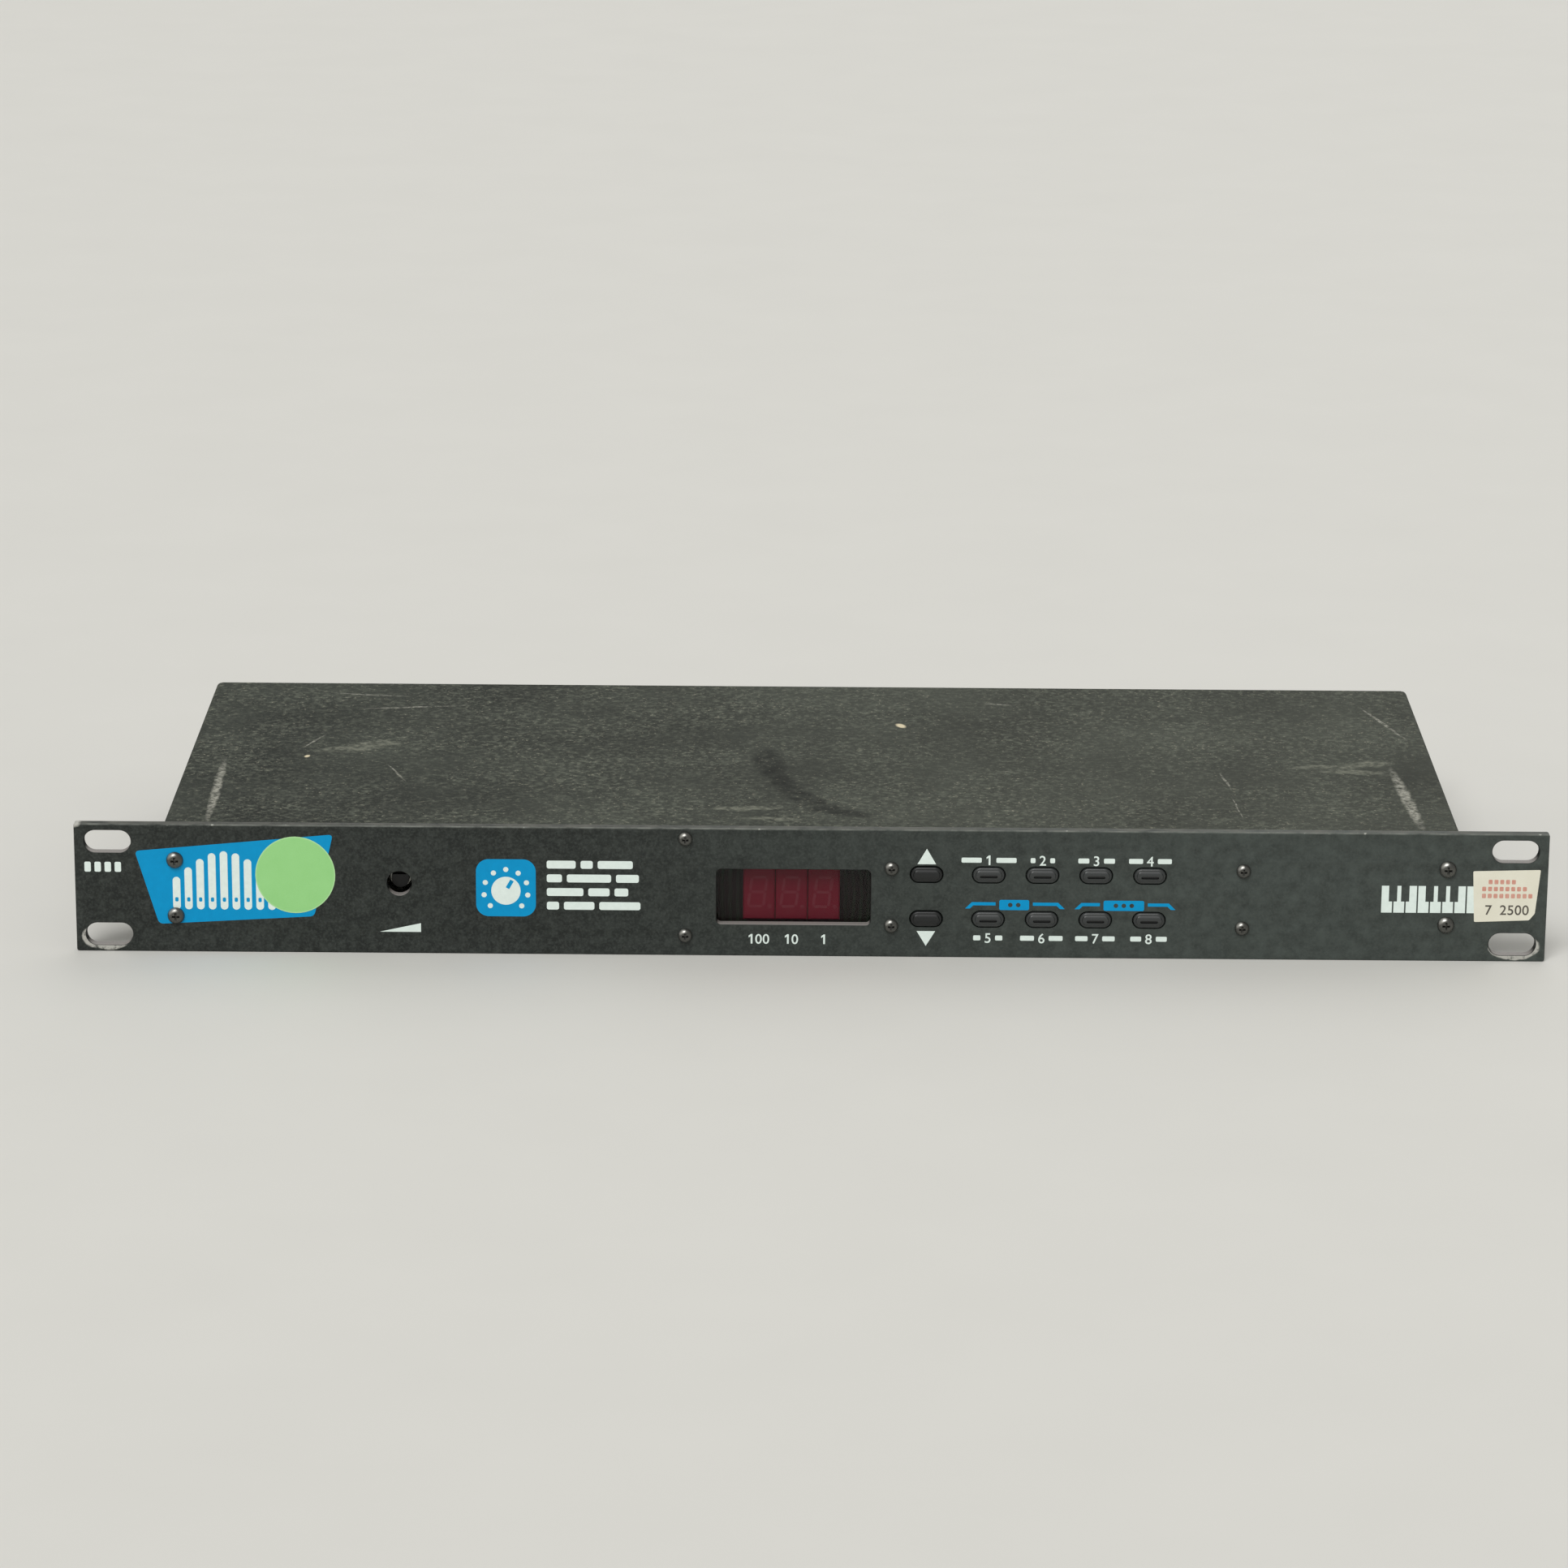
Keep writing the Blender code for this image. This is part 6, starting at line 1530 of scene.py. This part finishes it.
# Painted highlight on the faces that look up, left and forward.
feeds = {0: facing, 1: HIGHLIGHT_FACING}
facing_highlight = add_node(oxide, "VectorMath", feeds, operation="DOT_PRODUCT")
feeds = {"Value": facing_highlight, "From Min": 0.82, "From Max": 0.96, "To Max": 0.85}
painted_highlight = add_node(oxide, "MapRange", feeds)
tone = add_node(oxide, "Mix", {0: pitting, 6: OXIDE_DARK, 7: OXIDE_LIGHT}, data_type="RGBA")
tone = add_node(oxide, "Mix", {0: painted_highlight, 6: tone, 7: CROWN_HIGHLIGHT}, data_type="RGBA")
coat(oxide, shader, tone, pitting, OXIDE_PIT_HEIGHT)


def turn_screw(name, seat, outward, radius, height, shank, length):
    """One screw in place of the CAD's. Its head's outside points along the outward direction,
    and its shank goes the other way from its seat."""
    x, y = outward
    axes = np.array([(-y, x, 0.0), (-x, -y, 0.0), (0.0, 0.0, 1.0)])
    rings = [row @ axes + seat for row in screw_rings(radius, height, shank, length)]
    shells = [lid(rings[:1]), skin(rings), lid(rings[-1:])]
    screw = make_piece(f"turned_{name}", make_mesh(name, shells), [oxide])
    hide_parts(name)


for name in screw_names:
    low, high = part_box(name)
    x, z, front, rear = middle(name)
    radius = (high[0] - low[0]) / 2
    hole = FRAME_SCREW_HOLE if name.startswith("panel") else BOARD_SCREW_HOLE
    height, length = panel_front - front, rear - panel_front
    shank = hole / 2 - SHANK_CLEARANCE
    turn_screw(name, (x, panel_front, z), (0.0, -1.0), radius, height, shank, length)
cover_low, cover_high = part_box("top_cover")
shank = FRAME_SCREW_HOLE / 2 - SHANK_CLEARANCE
for name in [name for name in nodes if name.startswith("cover_screw")]:
    low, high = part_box(name)
    radius = (high[2] - low[2]) / 2
    x, y, z = ((a + b) / 2 for a, b in zip(low, high))
    if "rear" in name:
        seat, outward = (x, cover_high[1], z), (0.0, 1.0)
        height, length = high[1] - cover_high[1], cover_high[1] - low[1]
    elif x < 0:
        seat, outward = (cover_low[0], y, z), (-1.0, 0.0)
        height, length = cover_low[0] - low[0], high[0] - cover_low[0]
    else:
        seat, outward = (cover_high[0], y, z), (1.0, 0.0)
        height, length = high[0] - cover_high[0], cover_high[0] - low[0]
    turn_screw(name, seat, outward, radius, height, shank, length)

# Floor, lamps and camera
# A plain pale board to stand on, a soft lamp above and in front, a weaker one behind, and a
# camera where the photograph was taken from.

SKY_LEVEL = 0.6
# Name, direction that the light comes from, strength, and how wide it is in degrees
LAMPS = [
    ("lamp_front", (-0.25, -0.75, 1.0), 1.9, 35.0),
    ("lamp_back", (0.3, 0.9, 0.8), 0.5, 60.0),
]
FLOOR_SIZE = 40.0
FLOOR_COLOUR = "#D6D5D0"
FLOOR_PALE = "#DAD9D4"
CAMERA_PLACE = (-3.6 * MM, -1828.3 * MM, 570.9 * MM)
CAMERA_DOWN = math.radians(16.41)
CAMERA_TURN = math.radians(0.18)
CAMERA_ROLL = math.radians(0.38)
PHOTO_WIDTH_PX = 1932
FOCAL_PX = 6850
SENSOR_WIDTH = 36.0

floor_mesh = bpy.data.meshes.new("floor")
half = FLOOR_SIZE / 2
corners = [(-half, -half, 0.0), (half, -half, 0.0), (half, half, 0.0), (-half, half, 0.0)]
floor_mesh.from_pydata(corners, [], [(0, 1, 2, 3)])
floor = bpy.data.objects.new("floor", floor_mesh)
bpy.context.scene.collection.objects.link(floor)

# Matt card, so even that only a faint cloud shows.
card = two_tone(
    "matt_white_board",
    {"Roughness": 0.7, "IOR": 1.5},
    size=60.0 * MM,
    dark=FLOOR_COLOUR,
    pale=FLOOR_PALE,
    depth=0.001 * MM,
)
floor_mesh.materials.append(card)

world = bpy.data.worlds.new("studio")
world.use_nodes = True
bpy.context.scene.world = world
background = world.node_tree.nodes["Background"]
background.inputs["Color"].default_value = linear(FLOOR_COLOUR)
background.inputs["Strength"].default_value = SKY_LEVEL

for name, from_place, level, spread in LAMPS:
    light = bpy.data.lights.new(name, "SUN")
    light.energy = level
    light.angle = math.radians(spread)
    lamp = bpy.data.objects.new(name, light)
    lamp.rotation_euler = Vector(from_place).to_track_quat("Z", "Y").to_euler()
    bpy.context.scene.collection.objects.link(lamp)

lens = bpy.data.cameras.new("camera")
lens.sensor_width = SENSOR_WIDTH
lens.lens = FOCAL_PX / PHOTO_WIDTH_PX * SENSOR_WIDTH
camera = bpy.data.objects.new("camera", lens)
camera.matrix_world = (
    Matrix.Translation(CAMERA_PLACE)
    @ Matrix.Rotation(CAMERA_TURN, 4, "Z")
    @ Matrix.Rotation(math.pi / 2 - CAMERA_DOWN, 4, "X")
    @ Matrix.Rotation(CAMERA_ROLL, 4, "Z")
)
bpy.context.scene.collection.objects.link(camera)
bpy.context.scene.camera = camera
bpy.context.scene.view_settings.view_transform = "Standard"
